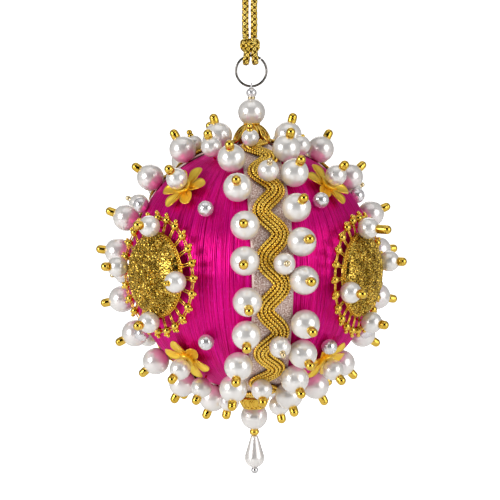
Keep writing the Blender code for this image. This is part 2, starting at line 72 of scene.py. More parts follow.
RIBBON_HALF_WIDTH = 0.0059
RIBBON_UNDER = 0.0376
RIBBON_THICKNESS = 0.0005
RIBBON_END = 82.5                 # 2.5 degrees past the solid, towards the cap

BRAID_SWING = 0.0024
BRAID_WAVE = 21.0
BRAID_PHASE = 2.0
BRAID_END = 79.5
BRAID_STRANDS = 5
STRAND_STEP = 0.00020              # between the points of a strand
STRAND_SPACING = 0.00107
STRAND_AT = 0.0393
PLY_RADIUS = 0.00035
PLY_TURN_RADIUS = 0.00024
PLY_PITCH = 0.0018

BIG_PEARL = 0.0040
MID_PEARL = 0.0030
UPPER_PEARL = 0.0025              # top pearl of each braid
SMALL_PEARL = 0.0023
CAPSULE_RADIUS = 0.00134
PIN_RADIUS = 0.00032
PEARL_FULLNESS = 1.03              # glazed beads are a little fuller than their nominal size
BIG_PEARL_AT = 0.0418
BRAID_PEARL_AT = 0.0421
FLOWER_PEARL_AT = 0.0426
ROSETTE_PEARL_AT = 0.0436
SMALL_PEARL_AT = 0.0396
RIBBON_TOP = 0.0385

DOME_RADIUS = 0.0117
DOME_TOP = 0.0425
RIM_RADIUS = 0.0164
RIM_HEIGHT = 0.03765
RIM_BALLS = 24
RIM_BALL = 0.00122
PICOT_BALL = 0.00056

FLOWER_REACH = 0.0073
FLOWER_BASE = 0.0379
PETALS = 6

CAP_RADIUS = 0.0058
CAP_TOP = 0.0436
TOP_PEARL_AT = 0.0472
TOP_BEAD_AT = 0.0530
TOP_BEAD = 0.00160
EYE_AT = 0.05495
RING_AT = 0.0596
RING_RADIUS = 0.00460
RING_WIRE = 0.00036
BOTTOM_PEARL_AT = 0.0462
KNOT_AT = 0.0672
CORD_RADIUS = 0.00085
CORD_LAY = 0.0052                  # one turn of the braid's strands
CORD_FULLNESS = 1.28              # the braid swells over its nominal size
WRAP_SIDES = (-0.0013, 0.0011)

RIBBONS = {"front": 8.5, "left": -108.0, "right": 120.0}

# pearls of each row: (angle along the ribbon, distance from its middle in mm)
PEARL_ROWS = {
    ("front", "left"): ((56, -9.3), (39, -8.9), (22, -7.8), (8, -8.3), (-8, -7.7), (-22, -7.7),
                        (-38, -9.2), (-54, -9.6)),
    ("front", "right"): ((62, 7.3), (46, 7.9), (29, 7.1), (15, 7.9), (0, 8.3), (-18, 8.9),
                         (-32, 8.9), (-47, 7.7), (-62, 7.6)),
    ("left", "near"): ((79, 8.3), (61, 6.3), (42, 6.6), (22, 8.8), (7, 10.2), (-14, 9.4),
                       (-30, 9.8), (-45, 8.4), (-60, 8.0), (-75, 8.0)),
    ("left", "far"): ((69, -8.3), (52, -8.6), (36, -8.0), (21, -8.4), (6, -8.8), (-10, -8.2),
                      (-26, -8.5), (-42, -8.9), (-58, -8.4), (-73, -8.2)),
    ("right", "near"): ((79, -8.3), (60, -6.4), (41, -6.9), (22, -8.4), (5.5, -8.2), (-15, -10.0),
                        (-33, -9.0), (-49, -8.4), (-65, -8.2)),
    ("right", "far"): ((66, 8.2), (50, 8.5), (38, 8.3), (23, 8.0), (7, 8.7), (-9, 8.4),
                       (-24, 8.1), (-40, 8.6), (-56, 8.8), (-72, 8.3)),
}

BRAID_PEARLS = {
    "front": ((70, -2.6), (46, 0.3), (6.5, 2.6), (-27, 1.9), (-52, -1.6)),
    "left": ((64, 0.8), (27, -0.4), (-4, 1.6), (-33, -0.9), (-61, 1.2)),
    "right": ((54, 0.4), (32, -1.4), (2, 1.2), (-28, 0.7), (-55, -1.0)),
}

ROSETTES = {"left": (-47.8, 0.8), "right": (55.9, -0.6), "back": (186.0, 0.0)}
# how far each rosette sits turned on its pins, in degrees about the upright
ROSETTE_TURNS = {"left": -2.0, "right": 6.5, "back": 0.0}

# pins of each rosette: (turn about its middle from the top, angle around the ball from its middle)
ROSETTE_PINS = {
    "left": {"top": (-6, 19.0), "left": (83, 17.7), "bottom": (186, 18.0), "right": (266, 18.0)},
    "right": {"top": (8, 18.6), "left": (107, 17.2), "bottom": (182, 18.5), "right": (286, 15.8)},
    "back": {"top": (-8, 18.2), "left": (84, 17.9), "bottom": (176, 18.4), "right": (267, 18.0)},
}

FLOWERS = {
    "upper_left": (-42.5, 41.1, 12.0),
    "lower_left": (-40.5, -39.5, 38.0),
    "upper_right": (50.2, 42.0, 34.0),
    "lower_right": (46.5, -41.5, 6.0),
    "upper_back": (186.0, 42.0, 18.0),
    "lower_back": (186.0, -41.0, 40.0),
}

PANEL_PEARLS = {
    "upper_left": (-39.0, 63.0, SEAT),
    "upper_right": (50.0, 63.5, SEAT),
    "upper_back": (186.0, 62.0, SEAT),
    "lower_left": (-40.0, -54.5, SEAT),
    "bottom_left": (-40.0, -73.5, SEAT),
    "bottom_right": (36.0, -72.5, RIBBON_TOP + 0.0003),
    "lower_back": (186.0, -60.0, SEAT),
}

# small pearl pins, four to a panel: (azimuth, latitude)
SMALL_PINS = (
    (-22.6, 29.9), (-22.5, -27.3), (-76.5, 30.0), (-75.0, -28.5),
    (36.2, 33.1), (40.4, -31.7), (103.0, 32.5), (88.0, -30.0),
    (161.0, 30.5), (162.0, -29.0), (211.0, 29.0), (210.0, -30.0),
)

# the cord's middle line, as in part.py: (x, height)
CORD_ROUTE = (
    (-0.0016, -0.0284),
    (-0.0017, -0.0235),
    (-0.0016, -0.0185),
    (-0.0019, -0.0135),
    (-0.0028, -0.0085),
    (-0.0036, -0.0040),
    (-0.0026, -0.0005),
    (0.0000, 0.00075),
    (0.0026, -0.0006),
    (0.0034, -0.0042),
    (0.0025, -0.0088),
    (0.0014, -0.0138),
    (0.0010, -0.0187),
    (0.0010, -0.0236),
    (0.0009, -0.0284),
)


# ---------------------------------------------------------------- geometry helpers

def direction(azimuth, latitude=0.0):
    azimuth, latitude = math.radians(azimuth), math.radians(latitude)
    return Vector((math.sin(azimuth) * math.cos(latitude),
                   -math.cos(azimuth) * math.cos(latitude), math.sin(latitude)))


def ribbon_direction(azimuth, along, side_share):
    along = math.radians(along)
    flat = math.cos(along) * direction(azimuth) + math.sin(along) * Vector((0.0, 0.0, 1.0))
    return math.sqrt(1.0 - side_share ** 2) * flat + side_share * direction(azimuth + 90.0)


def on_ribbon(azimuth, along, side, radius):
    """Points over a ribbon, from arrays of angles, sideways distances and radii in metres."""
    along, side, radius = np.broadcast_arrays(np.radians(along), side, radius)
    share = side / radius
    flat = (np.cos(along)[..., None] * np.array(direction(azimuth))
            + np.sin(along)[..., None] * np.array((0.0, 0.0, 1.0)))
    unit = (np.sqrt(1.0 - share ** 2)[..., None] * flat
            + share[..., None] * np.array(direction(azimuth + 90.0)))
    return unit * radius[..., None] + MIDDLE


def z_turn(degrees):
    """Turn about +Z."""
    return Matrix.Rotation(math.radians(degrees), 4, "Z")


def facing(outward):
    """Turn that points a part's +Z outward."""
    return outward.to_track_quat("Z", "Y").to_matrix().to_4x4()


def stand(outward, distance, turn=0.0):
    """Matrix that puts a part built along +Z onto the ball, pointing outward."""
    return Matrix.Translation(CENTRE + outward * distance) @ facing(outward) @ z_turn(turn)


class Shape:
    """Many small parts gathered into one mesh."""

    def __init__(self):
        self.points, self.quads, self.triangles, self.marks = [], [], [], []
        self.count = 0

    def add(self, points, quads=(), triangles=(), matrix=None, mark=(0.0, 0.0)):
        points = np.asarray(points, float).reshape(-1, 3)
        if matrix is not None:
            m = np.array(matrix)
            points = points @ m[:3, :3].T + m[:3, 3]
        if len(quads):
            self.quads.append(np.asarray(quads, int).reshape(-1, 4) + self.count)
        if len(triangles):
            self.triangles.append(np.asarray(triangles, int).reshape(-1, 3) + self.count)
        self.points.append(points)
        marks = np.asarray(mark, float)
        self.marks.append(np.broadcast_to(marks, (len(points), 2)))
        self.count += len(points)

    def put(self, part, matrix, place):
        """Adds a part at a place given in the matrix's own frame."""
        self.add(*part, matrix=matrix @ Matrix.Translation(place))

    def bead_circle(self, part, count, radius, height, matrix):
        """Adds equal parts at even steps round a circle about the matrix's own Z."""
        for i in range(count):
            angle = i * math.pi / (0.5 * count)
            self.put(part, matrix, (radius * math.cos(angle), radius * math.sin(angle), height))

    def mesh(self, name, smooth):
        points = np.concatenate(self.points)
        quads = np.concatenate(self.quads) if self.quads else np.empty((0, 4), int)
        tris = np.concatenate(self.triangles) if self.triangles else np.empty((0, 3), int)
        corners = np.concatenate([quads.ravel(), tris.ravel()]).astype(np.int32)
        starts = np.concatenate([np.arange(len(quads)) * 4,
                                 len(quads) * 4 + np.arange(len(tris)) * 3]).astype(np.int32)
        mesh = bpy.data.meshes.new(name)
        mesh.vertices.add(len(points))
        mesh.vertices.foreach_set("co", points.astype(np.float32).ravel())
        mesh.loops.add(len(corners))
        mesh.loops.foreach_set("vertex_index", corners)
        mesh.polygons.add(len(starts))
        mesh.polygons.foreach_set("loop_start", starts)
        mesh.update(calc_edges=True)
        mesh.validate()
        marks = np.concatenate(self.marks)
        layer = mesh.uv_layers.new(name="marks")
        order = np.empty(len(mesh.loops), np.int32)
        mesh.loops.foreach_get("vertex_index", order)
        layer.data.foreach_set("uv", marks[order].astype(np.float32).ravel())
        mesh.polygons.foreach_set("use_smooth", np.full(len(mesh.polygons), smooth))
        mesh.update()
        return mesh


def grid_quads(rows, columns, closed):
    """Faces of a grid of points, row after row; closed joins the last column to the first."""
    last = columns if closed else columns - 1
    row, column = np.meshgrid(np.arange(rows - 1), np.arange(last), indexing="ij")
    beside = (column + 1) % columns
    quads = np.stack([row * columns + column, row * columns + beside,
                      (row + 1) * columns + beside, (row + 1) * columns + column], -1)
    return quads.reshape(-1, 4)


def sheet_faces(rows, columns, flipped=False):
    """Faces of a thin sheet: a grid of points, the same grid again below it, and their walls."""
    quads = grid_quads(rows, columns, False)
    shift = rows * columns
    rim = np.concatenate([np.arange(columns), np.arange(1, rows) * columns + columns - 1,
                          (rows - 1) * columns + np.arange(columns - 2, -1, -1),
                          np.arange(rows - 2, 0, -1) * columns])
    beside = np.roll(rim, -1)
    walls = np.stack([rim, rim + shift, beside + shift, beside], -1)
    faces = np.concatenate([quads, quads[:, ::-1] + shift, walls])
    return faces[:, ::-1] if flipped else faces


def lathe(profile, segments):
    """Turned part from (radius, height) pairs that go from the top down to the bottom."""
    profile = np.array(profile, float)
    angles = np.arange(segments) * 2.0 * math.pi / segments
    ring = np.stack([np.cos(angles), np.sin(angles)], -1)
    points = np.concatenate([profile[:, None, 0:1] * ring[None],
                             np.repeat(profile[:, None, 1:2], segments, 1)], -1).reshape(-1, 3)
    quads = grid_quads(len(profile), segments, True)[:, ::-1]
    count = len(points)
    points = np.concatenate([points, [[0.0, 0.0, profile[0, 1]], [0.0, 0.0, profile[-1, 1]]]])
    around = np.arange(segments)
    beside = (around + 1) % segments
    first = np.stack([np.full(segments, count), around, beside], -1)
    base = (len(profile) - 1) * segments
    last = np.stack([np.full(segments, count + 1), base + beside, base + around], -1)
    return points, quads, np.concatenate([first, last])


def arc(radius, centre, first, last, steps):
    """Profile points of a sphere between two angles from its top."""
    angles = np.radians(np.linspace(first, last, steps + 1))
    return [(radius * math.sin(a), centre + radius * math.cos(a)) for a in angles]


def carried_frames(ahead, normal):
    """Normals carried along a line's headings without twist, and the directions square to both."""
    normals = np.empty_like(ahead)
    for i, heading in enumerate(ahead):
        normal = normal - heading * normal.dot(heading)
        normal /= np.linalg.norm(normal)
        normals[i] = normal
    return normals, np.cross(ahead, normals)


def tube(points, radius, sides, closed=False):
    """Tube along points with one radius, or one for each point."""
    points = np.asarray(points, float)
    count = len(points)
    ahead = np.roll(points, -1, 0) - np.roll(points, 1, 0)
    if not closed:
        ahead[0], ahead[-1] = points[1] - points[0], points[-1] - points[-2]
    ahead /= np.maximum(np.linalg.norm(ahead, axis=1, keepdims=True), 1e-12)
    normal = np.cross(ahead[0], (0.3, 0.2, 1.0) if abs(ahead[0][2]) < 0.8 else (1.0, 0.2, 0.1))
    normals, others = carried_frames(ahead, normal)
    angles = np.arange(sides) * 2.0 * math.pi / sides
    radius = np.broadcast_to(radius, count)[:, None, None]
    ring = (np.cos(angles)[None, :, None] * normals[:, None]
            + np.sin(angles)[None, :, None] * others[:, None])
    skin = (points[:, None] + radius * ring).reshape(-1, 3)
    quads = grid_quads(count, sides, True)
    around = np.arange(sides)
    beside = (around + 1) % sides
    base = (count - 1) * sides
    if closed:
        quads = np.concatenate([quads, np.stack([base + around, base + beside, beside, around], -1)])
        return skin, quads, ()
    skin = np.concatenate([skin, points[:1], points[-1:]])
    first = np.stack([np.full(sides, count * sides), beside, around], -1)
    last = np.stack([np.full(sides, count * sides + 1), base + around, base + beside], -1)
    return skin, quads, np.concatenate([first, last])


def run_along(points):
    """Distance run along a line at each of its points."""
    return np.concatenate([[0.0], np.cumsum(np.linalg.norm(np.diff(points, axis=0), axis=1))])


def headings(points):
    """Unit directions in which a line runs."""
    ahead = np.gradient(points, axis=0)
    return ahead / np.linalg.norm(ahead, axis=1, keepdims=True)


def beside_line(flat):
    """Unit directions square to a flat line."""
    ahead = headings(flat)
    return np.stack([-ahead[:, 1], ahead[:, 0]], -1)


def smooth_route(route, step):
    """Points at equal steps along a smooth curve through the route's points."""
    dense = []
    for i in range(len(route) - 1):
        before = route[max(i - 1, 0)]
        start, end = route[i], route[i + 1]
        after = route[min(i + 2, len(route) - 1)]
        for k in range(12):
            t = k / 12.0
            dense.append(0.5 * (2.0 * start + (end - before) * t
                                + (2.0 * before - 5.0 * start + 4.0 * end - after) * t ** 2
                                + (3.0 * start - before - 3.0 * end + after) * t ** 3))
    dense.append(route[-1])
    dense = np.array(dense)
    lengths = run_along(dense)
    count = max(2, round(lengths[-1] / step))
    at = np.linspace(0.0, lengths[-1], count + 1)
    return np.stack([np.interp(at, lengths, dense[:, k]) for k in range(3)], -1), lengths[-1]


def show(name, shape, material, replaced=(), smooth=True):
    """Makes a shape a piece of the object."""
    mesh = shape.mesh(name, smooth)
    mesh.materials.append(material)
    item = bpy.data.objects.new(name, mesh)
    bpy.context.scene.collection.objects.link(item)
    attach(item, "root")
    if replaced:
        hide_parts(*replaced)
    return item


# ---------------------------------------------------------------- materials

class Looks:
    """Short helper for a material's nodes."""

    def __init__(self, name):
        self.material = bpy.data.materials.new(name)
        self.material.use_nodes = True
        self.tree = self.material.node_tree
        self.shader = self.tree.nodes["Principled BSDF"]

    def set(self, **values):
        for key, value in values.items():
            self.shader.inputs[key.replace("_", " ")].default_value = value

    def node(self, kind, **values):
        made = self.tree.nodes.new(kind)
        for key, value in values.items():
            setattr(made, key, value)
        return made

    def link(self, first, second):
        self.tree.links.new(first, second)

    def feed(self, **outputs):
        """Links outputs to the shader's own sockets."""
        for key, output in outputs.items():
            self.link(output, self.shader.inputs[key.replace("_", " ")])

    def mix(self, factor, first, second):
        made = self.node("ShaderNodeMix", data_type="RGBA")
        self.link(factor, made.inputs["Factor"])
        self.link(first, made.inputs["A"])
        made.inputs["B"].default_value = (*second, 1.0)
        return made.outputs["Result"]

    def first_mark(self):
        """The first of a point's two marks."""
        source = self.node("ShaderNodeTexCoord")
        split = self.node("ShaderNodeSeparateXYZ")
        self.link(source.outputs["UV"], split.inputs["Vector"])
        return split.outputs["X"]

    def place(self, scale=(1.0, 1.0, 1.0), from_marks=False):
        """Coordinates stretched by scale, from the object or from its marks."""
        source = self.node("ShaderNodeTexCoord")
        mapping = self.node("ShaderNodeMapping")
        mapping.inputs["Scale"].default_value = scale
        self.link(source.outputs["UV" if from_marks else "Object"], mapping.inputs["Vector"])
        return mapping.outputs["Vector"]

    def noise(self, vector, scale, detail=3.0, rough=0.55):
        made = self.node("ShaderNodeTexNoise")
        made.inputs["Scale"].default_value = scale
        made.inputs["Detail"].default_value = detail
        made.inputs["Roughness"].default_value = rough
        self.link(vector, made.inputs["Vector"])
        return made.outputs["Fac"]

    def ramp(self, value, stops):
        made = self.node("ShaderNodeValToRGB")
        elements = made.color_ramp.elements
        while len(elements) < len(stops):
            elements.new(0.5)
        for element, (at, colour) in zip(elements, stops):
            element.position = at
            element.color = (*colour, 1.0)
        self.link(value, made.inputs["Fac"])
        return made.outputs["Color"]

    def span(self, value, low, high):
        made = self.node("ShaderNodeMapRange")
        made.inputs["To Min"].default_value = low
        made.inputs["To Max"].default_value = high
        self.link(value, made.inputs["Value"])
        return made.outputs["Result"]

    def bump(self, height, distance, strength=1.0):
        made = self.node("ShaderNodeBump")
        made.inputs["Distance"].default_value = distance
        made.inputs["Strength"].default_value = strength
        self.link(height, made.inputs["Height"])
        self.link(made.outputs["Normal"], self.shader.inputs["Normal"])


def floss_look():
    """Rayon floss: each thread has its own depth of magenta and a tinted sheen; short dashes along
    the threads carry painted pink highlights in the colour.
    """
    look = Looks("satin_floss_look")
    threads = look.noise(look.place((520.0, 5.0, 1.0), True), 1.0, 4.0, 0.7)
    glints = look.noise(look.place((800.0, 90.0, 1.0), True), 1.0, 2.0, 0.6)
    colour = look.ramp(threads, (
        (0.34, (0.46, 0.0002, 0.075)), (0.5, (0.74, 0.0006, 0.195)), (0.68, (1.0, 0.004, 0.43))))
    # painted highlight: the colour turns bright pink in short glint dashes, where the roughness also
    # drops
    painted_glint = look.ramp(glints, ((0.56, (0.0, 0.0, 0.0)), (0.74, (0.45, 0.45, 0.45))))
    look.feed(Base_Color=look.mix(painted_glint, colour, (1.0, 0.05, 0.62)),
              Roughness=look.span(glints, 0.38, 0.26))
    look.bump(look.noise(look.place((900.0, 6.0, 1.0), True), 1.0, 3.0), 0.00003, 0.6)
    look.set(Metallic=0.55, Sheen_Weight=0.08, Sheen_Roughness=0.35)
    look.set(Sheen_Tint=(1.0, 0.2, 0.7, 1.0), Specular_Tint=(1.0, 0.22, 0.85, 1.0))
    return look.material


def ribbon_look():
    """Pale dusty pink ribbon of metallic warp, with a lighter woven selvage."""
    look = Looks("ribbon_look")
    grain = look.noise(look.place((26.0, 234.0, 1.0), True), 1.0, 2.0, 0.6)
    cross = look.noise(look.place((60.0, 120.0, 1.0), True), 1.0, 3.0, 0.6)
    ground = look.ramp(grain, ((0.36, (0.44, 0.255, 0.205)), (0.50, (0.66, 0.455, 0.385)),
                               (0.62, (1.0, 0.90, 0.86))))
    selvage, between = (0.7, 0.7, 0.7), (0.0, 0.0, 0.0)
    edge = look.ramp(look.first_mark(), ((0.0, selvage), (0.030, selvage), (0.050, between),
                                         (0.950, between), (0.970, selvage), (1.0, selvage)))
    look.feed(Base_Color=look.mix(edge, ground, (0.80, 0.66, 0.60)),
              Roughness=look.span(cross, 0.34, 0.52))
    look.bump(grain, 0.00008, 0.8)
    look.set(Metallic=0.35, Sheen_Weight=0.2)
    return look.material


def gold_look(name, base, dark, rough_low, rough_high, grain, height, scale=900.0, metal=1.0,
              painted_crevice_shade=None):
    """Gold finishes differ in colour, roughness and grain; the last argument, if given, is painted
    shade: a dark colour laid where a braid's strands lie low.
    """
    look = Looks(name)
    place = look.place()
    fine = look.noise(place, scale, 3.0, 0.6)
    broad = look.noise(place, scale * 0.25, 2.0)
    colour = look.ramp(broad, ((0.30, dark), (0.62, base)))
    if painted_crevice_shade:
        # painted shade: the colour turns towards the dark crevice colour where the strand's first
        # mark says it lies low
        depth = look.ramp(look.first_mark(), ((0.30, (1.0, 1.0, 1.0)), (0.78, (0.0, 0.0, 0.0))))
        colour = look.mix(depth, colour, painted_crevice_shade)
    look.feed(Base_Color=colour, Roughness=look.span(fine, rough_low, rough_high))
    look.bump(look.noise(place, grain, 2.0), height, 0.6)
    look.set(Metallic=metal)
    return look.material


def pearl_look(name, body, flush, rough, metal):
    """Glass pearl: a soft body under a lustrous coat, tinted towards the rim."""
    look = Looks(name)
    place = look.place()
    weight = look.node("ShaderNodeLayerWeight")
    weight.inputs["Blend"].default_value = 0.35
    tone = look.ramp(weight.outputs["Facing"], ((0.0, body), (0.75, flush), (1.0, body)))
    look.feed(Base_Color=tone,
              Roughness=look.span(look.noise(place, 700.0, 2.0), rough, rough + 0.05))
    look.bump(look.noise(place, 300.0, 2.0), 0.000006, 0.5)
    look.set(Coat_Weight=0.5, Coat_Roughness=0.12, Coat_IOR=1.6, IOR=1.6, Metallic=metal)
    return look.material


def silver_look(name, dark, base):
    """Silver metal, a little uneven in its colour and polish."""
    look = Looks(name)
    place = look.place()
    look.feed(Base_Color=look.ramp(look.noise(place, 500.0), ((0.3, dark), (0.7, base))),
              Roughness=look.span(look.noise(place, 1500.0), 0.14, 0.26))
    look.bump(look.noise(look.place((1.0, 1.0, 6.0)), 2200.0), 0.00001, 0.5)
    look.set(Metallic=1.0)
    return look.material


floss = floss_look()
ribbon_cloth = ribbon_look()
gold = gold_look("gold_look", (0.86, 0.575, 0.095), (0.72, 0.45, 0.050), 0.05, 0.10, 500.0,
                 0.000004)
stamped_gold = gold_look("stamped_gold_look", (1.0, 0.70, 0.085), (1.0, 0.61, 0.045), 0.26, 0.34,
                         1900.0, 0.000006, metal=0.7)
# the dark brown last colour of the braid gold is painted shade in the braid's crevices
braid_gold = gold_look("gold_braid_look", (1.0, 0.69, 0.13), (0.90, 0.55, 0.065), 0.14, 0.24,
                       5200.0, 0.00002, 1500.0, painted_crevice_shade=(0.20, 0.080, 0.003))
glitter_gold = gold_look("glitter_gold_look", (0.80, 0.57, 0.115), (0.34, 0.21, 0.020), 0.12, 0.26,
                         4200.0, 0.00002, 1800.0)
# the dark brown last colour of the cord gold is painted shade between the cord's strands
cord_gold = gold_look("gold_cord_look", (1.0, 0.78, 0.22), (0.84, 0.58, 0.085), 0.12, 0.22,
                      5200.0, 0.00003, 1500.0, painted_crevice_shade=(0.17, 0.085, 0.003))
cap_gold = gold_look("gold_cap_look", (1.0, 0.68, 0.14), (0.62, 0.36, 0.030), 0.12, 0.24,
                     1400.0, 0.00001)
champagne = gold_look("champagne_look", (0.88, 0.76, 0.50), (0.74, 0.58, 0.32), 0.08, 0.14,
                      900.0, 0.000005)
pearl = pearl_look("pearl_look", (0.93, 0.905, 0.88), (0.90, 0.85, 0.80), 0.22, 0.42)
silver_pearl = pearl_look("silver_pearl_look", (0.86, 0.85, 0.86), (0.76, 0.72, 0.74), 0.09, 0.62)
silver = silver_look("silver_look", (0.55, 0.54, 0.54), (0.80, 0.79, 0.79))
dark_silver = silver_look("dark_silver_look", (0.15, 0.135, 0.12), (0.30, 0.28, 0.26))


# ---------------------------------------------------------------- camera

CAMERA_LIFT = 5.5
CAMERA_DISTANCE = 0.430
CAMERA_ROLL = -0.5
AIM_OFFSET = Vector((-0.00085, 0.0, 0.00527))     # from the ball's centre
back = Vector((0.0, -math.cos(math.radians(CAMERA_LIFT)), math.sin(math.radians(CAMERA_LIFT))))
camera_data = bpy.data.cameras.new("camera")
camera_data.sensor_width = 36.0
camera_data.lens = 101.2
camera_data.clip_start = 0.01
camera_data.clip_end = 20.0
camera = bpy.data.objects.new("camera", camera_data)
bpy.context.scene.collection.objects.link(camera)
camera.location = CENTRE + back * CAMERA_DISTANCE
aim = CENTRE + AIM_OFFSET - camera.location
camera.rotation_mode = "QUATERNION"
camera.rotation_quaternion = (aim.to_track_quat("-Z", "Y")
                              @ Matrix.Rotation(math.radians(CAMERA_ROLL), 3, "Z").to_quaternion())
bpy.context.scene.camera = camera


# ---------------------------------------------------------------- cord loop and knot

def add_strand(shape, line, radius, sides, level):
    """Strand whose marks hold how high each point of its line lies, 0 low and 1 on top; the braid and
    cord golds paint shade where it lies low.
    """
    ends = np.concatenate([np.repeat(level, sides), level[:1], level[-1:]])
    shape.add(*tube(line, radius, sides), mark=np.stack([ends, np.zeros(len(ends))], -1))


def braided_cord(shape, line, radius):
    """Round braid along a line: a core, and twelve strands that pass over and under each other."""
    line = np.asarray(line, float)
    run, ahead = run_along(line), headings(line)
    normals, others = carried_frames(ahead, np.cross(ahead[0], (0.0, 1.0, 0.001)))
    shape.add(*tube(line, radius * 0.50, 8))
    for turn in (1.0, -1.0):
        for k in range(6):
            angle = turn * (run / CORD_LAY + (k + (0.5 if turn < 0 else 0.0)) / 6.0) * 2.0 * math.pi
            weave = np.cos(run / CORD_LAY * 12.0 * math.pi + (0.0 if turn > 0 else math.pi)
                           + k * math.pi)
            reach = radius * (0.70 + 0.12 * weave)
            strand = line + reach[:, None] * (np.cos(angle)[:, None] * normals
                                              + np.sin(angle)[:, None] * others)
            # the weave level is the mark from which the cord gold paints shade where a strand passes
            # under
            add_strand(shape, strand, radius * 0.23, 5, 0.5 + 0.5 * weave)


def knot_cord(shape, points, radius):
    """Adds one braided cord through points given from the ball's centre."""
    line, _ = smooth_route([np.array(p) + MIDDLE for p in points], ROUTE_STEP)
    braided_cord(shape, line, radius)


route = [np.array((x, 0.0, z)) for x, z in CORD_ROUTE]
cord_line, cord_length = smooth_route(route, ROUTE_STEP)
cord_shape = Shape()
braided_cord(cord_shape, cord_line, CORD_RADIUS * CORD_FULLNESS)
cord_piece = show("braided_cord", cord_shape, cord_gold, ("cord_loop",))

knot_shape = Shape()
turn_radius = RING_WIRE + CORD_RADIUS + 0.0001
for side in WRAP_SIDES:
    lean = 0.00025 if side > 0 else -0.00055
    wire_height = RING_AT + math.sqrt(RING_RADIUS ** 2 - side ** 2)
    wrap = [(side * 0.55, -0.0011, KNOT_AT + 0.0012), (side * 0.8, -0.0014, KNOT_AT - 0.0012)]
    for k in range(7):
        angle = math.pi * k / 6.0
        wrap.append((side + lean * 0.5 * math.sin(angle), -turn_radius * math.cos(angle),
                     wire_height - 1.4 * turn_radius * math.sin(angle)))
    wrap.append((side * 0.8, 0.0014, KNOT_AT - 0.0012))
    wrap.append((side * 0.55, 0.0010, KNOT_AT + 0.0012))
    knot_cord(knot_shape, wrap, CORD_RADIUS * CORD_FULLNESS)
    bight = []
    for k in range(13):
        angle = math.radians(-75.0 + 30.0 * k)
        bight.append((side * 0.95 - 0.0002 + math.copysign(0.00095, side) * math.cos(angle),
                      -0.0008 * math.cos(angle * 0.5) - 0.0003 * math.sin(angle),
                      KNOT_AT + 0.0001 + 0.00130 * math.sin(angle)))
    knot_cord(knot_shape, bight, CORD_RADIUS * CORD_FULLNESS)
neck = [(-0.0019, 0.0002, KNOT_AT - 0.0007), (-0.0011, -0.0013, KNOT_AT - 0.0002),
        (0.0, -0.0017, KNOT_AT + 0.0003), (0.0011, -0.0013, KNOT_AT + 0.0006),
        (0.0018, 0.0002, KNOT_AT + 0.0005), (0.0010, 0.0013, KNOT_AT + 0.0002),
        (-0.0010, 0.0013, KNOT_AT - 0.0002), (-0.0018, 0.0004, KNOT_AT - 0.0003)]
knot_cord(knot_shape, neck, CORD_RADIUS * 0.9)
knot_piece = show("cord_hitch", knot_shape, cord_gold, ("cord_knot",))


# ---------------------------------------------------------------- satin ball

rng = np.random.default_rng(7)


def wound_ball():
    """Ball with shallow ridges where bundles of floss lie side by side."""
    shape = Shape()
    columns, rows = 300, 90
    azimuths = np.arange(columns) * 360.0 / columns
    latitudes = np.linspace(-89.0, 89.0, rows)
    ridge = rng.normal(0.0, 1.0, columns)
    ridge = (ridge + np.roll(ridge, 1)) * 0.00003
    lat, az = np.meshgrid(np.radians(latitudes), np.radians(azimuths), indexing="ij")
    radius = WOUND_RADIUS + ridge[None] * np.cos(lat)
    points = np.stack([radius * np.cos(lat) * np.sin(az), -radius * np.cos(lat) * np.cos(az),
                       radius * np.sin(lat)], -1) + MIDDLE
    marks = np.stack([np.broadcast_to(azimuths / 360.0, lat.shape), (lat / math.pi + 0.5)], -1)
    shape.add(points, grid_quads(rows, columns, True), mark=marks.reshape(-1, 2))
    return shape


def floss_strands(count, steps):
    """Single strands of floss from pole to pole, each a little off its meridian."""
    shape = Shape()
    latitudes = np.radians(np.linspace(-86.0, 86.0, steps))
    cosines = np.cos(latitudes)
    for i in range(count):
        start = (i + rng.uniform(-0.35, 0.35)) / count * 2.0 * math.pi
        sway = rng.normal(0.0, 0.004) * np.sin(latitudes * rng.uniform(0.7, 1.4) + rng.uniform(0, 6))
        lean = rng.normal(0.0, 0.006)
        azimuth = start + sway + lean * latitudes
        radius = FLOSS_AT + rng.uniform(0.0, 0.00010) - 0.00010 * (1.0 - cosines)
        width = rng.uniform(0.00014, 0.00021) * (0.35 + 0.65 * cosines)
        height = width * 0.42
        spread = width[:, None] * np.array((-1.0, 0.0, 1.0)) / (radius * cosines)[:, None]
        lift = height[:, None] * np.array((-0.6, 0.6, -0.6))
        turn = azimuth[:, None] + spread
        out = radius[:, None] + lift
        points = np.stack([out * cosines[:, None] * np.sin(turn),
                           -out * cosines[:, None] * np.cos(turn),
                           out * np.sin(latitudes)[:, None]], -1) + MIDDLE
        tone = rng.uniform(0.0, 1.0)
        marks = np.stack([np.full(turn.shape, tone) + spread * 0.2,
                          np.broadcast_to((latitudes / math.pi + 0.5)[:, None], turn.shape)], -1)
        shape.add(points, grid_quads(steps, 3, False), mark=marks.reshape(-1, 2))
    return shape


show("wound_ball", wound_ball(), floss, ("satin_ball",))
show("floss_strands", floss_strands(1150, 30), floss)


# ---------------------------------------------------------------- ribbons and braids

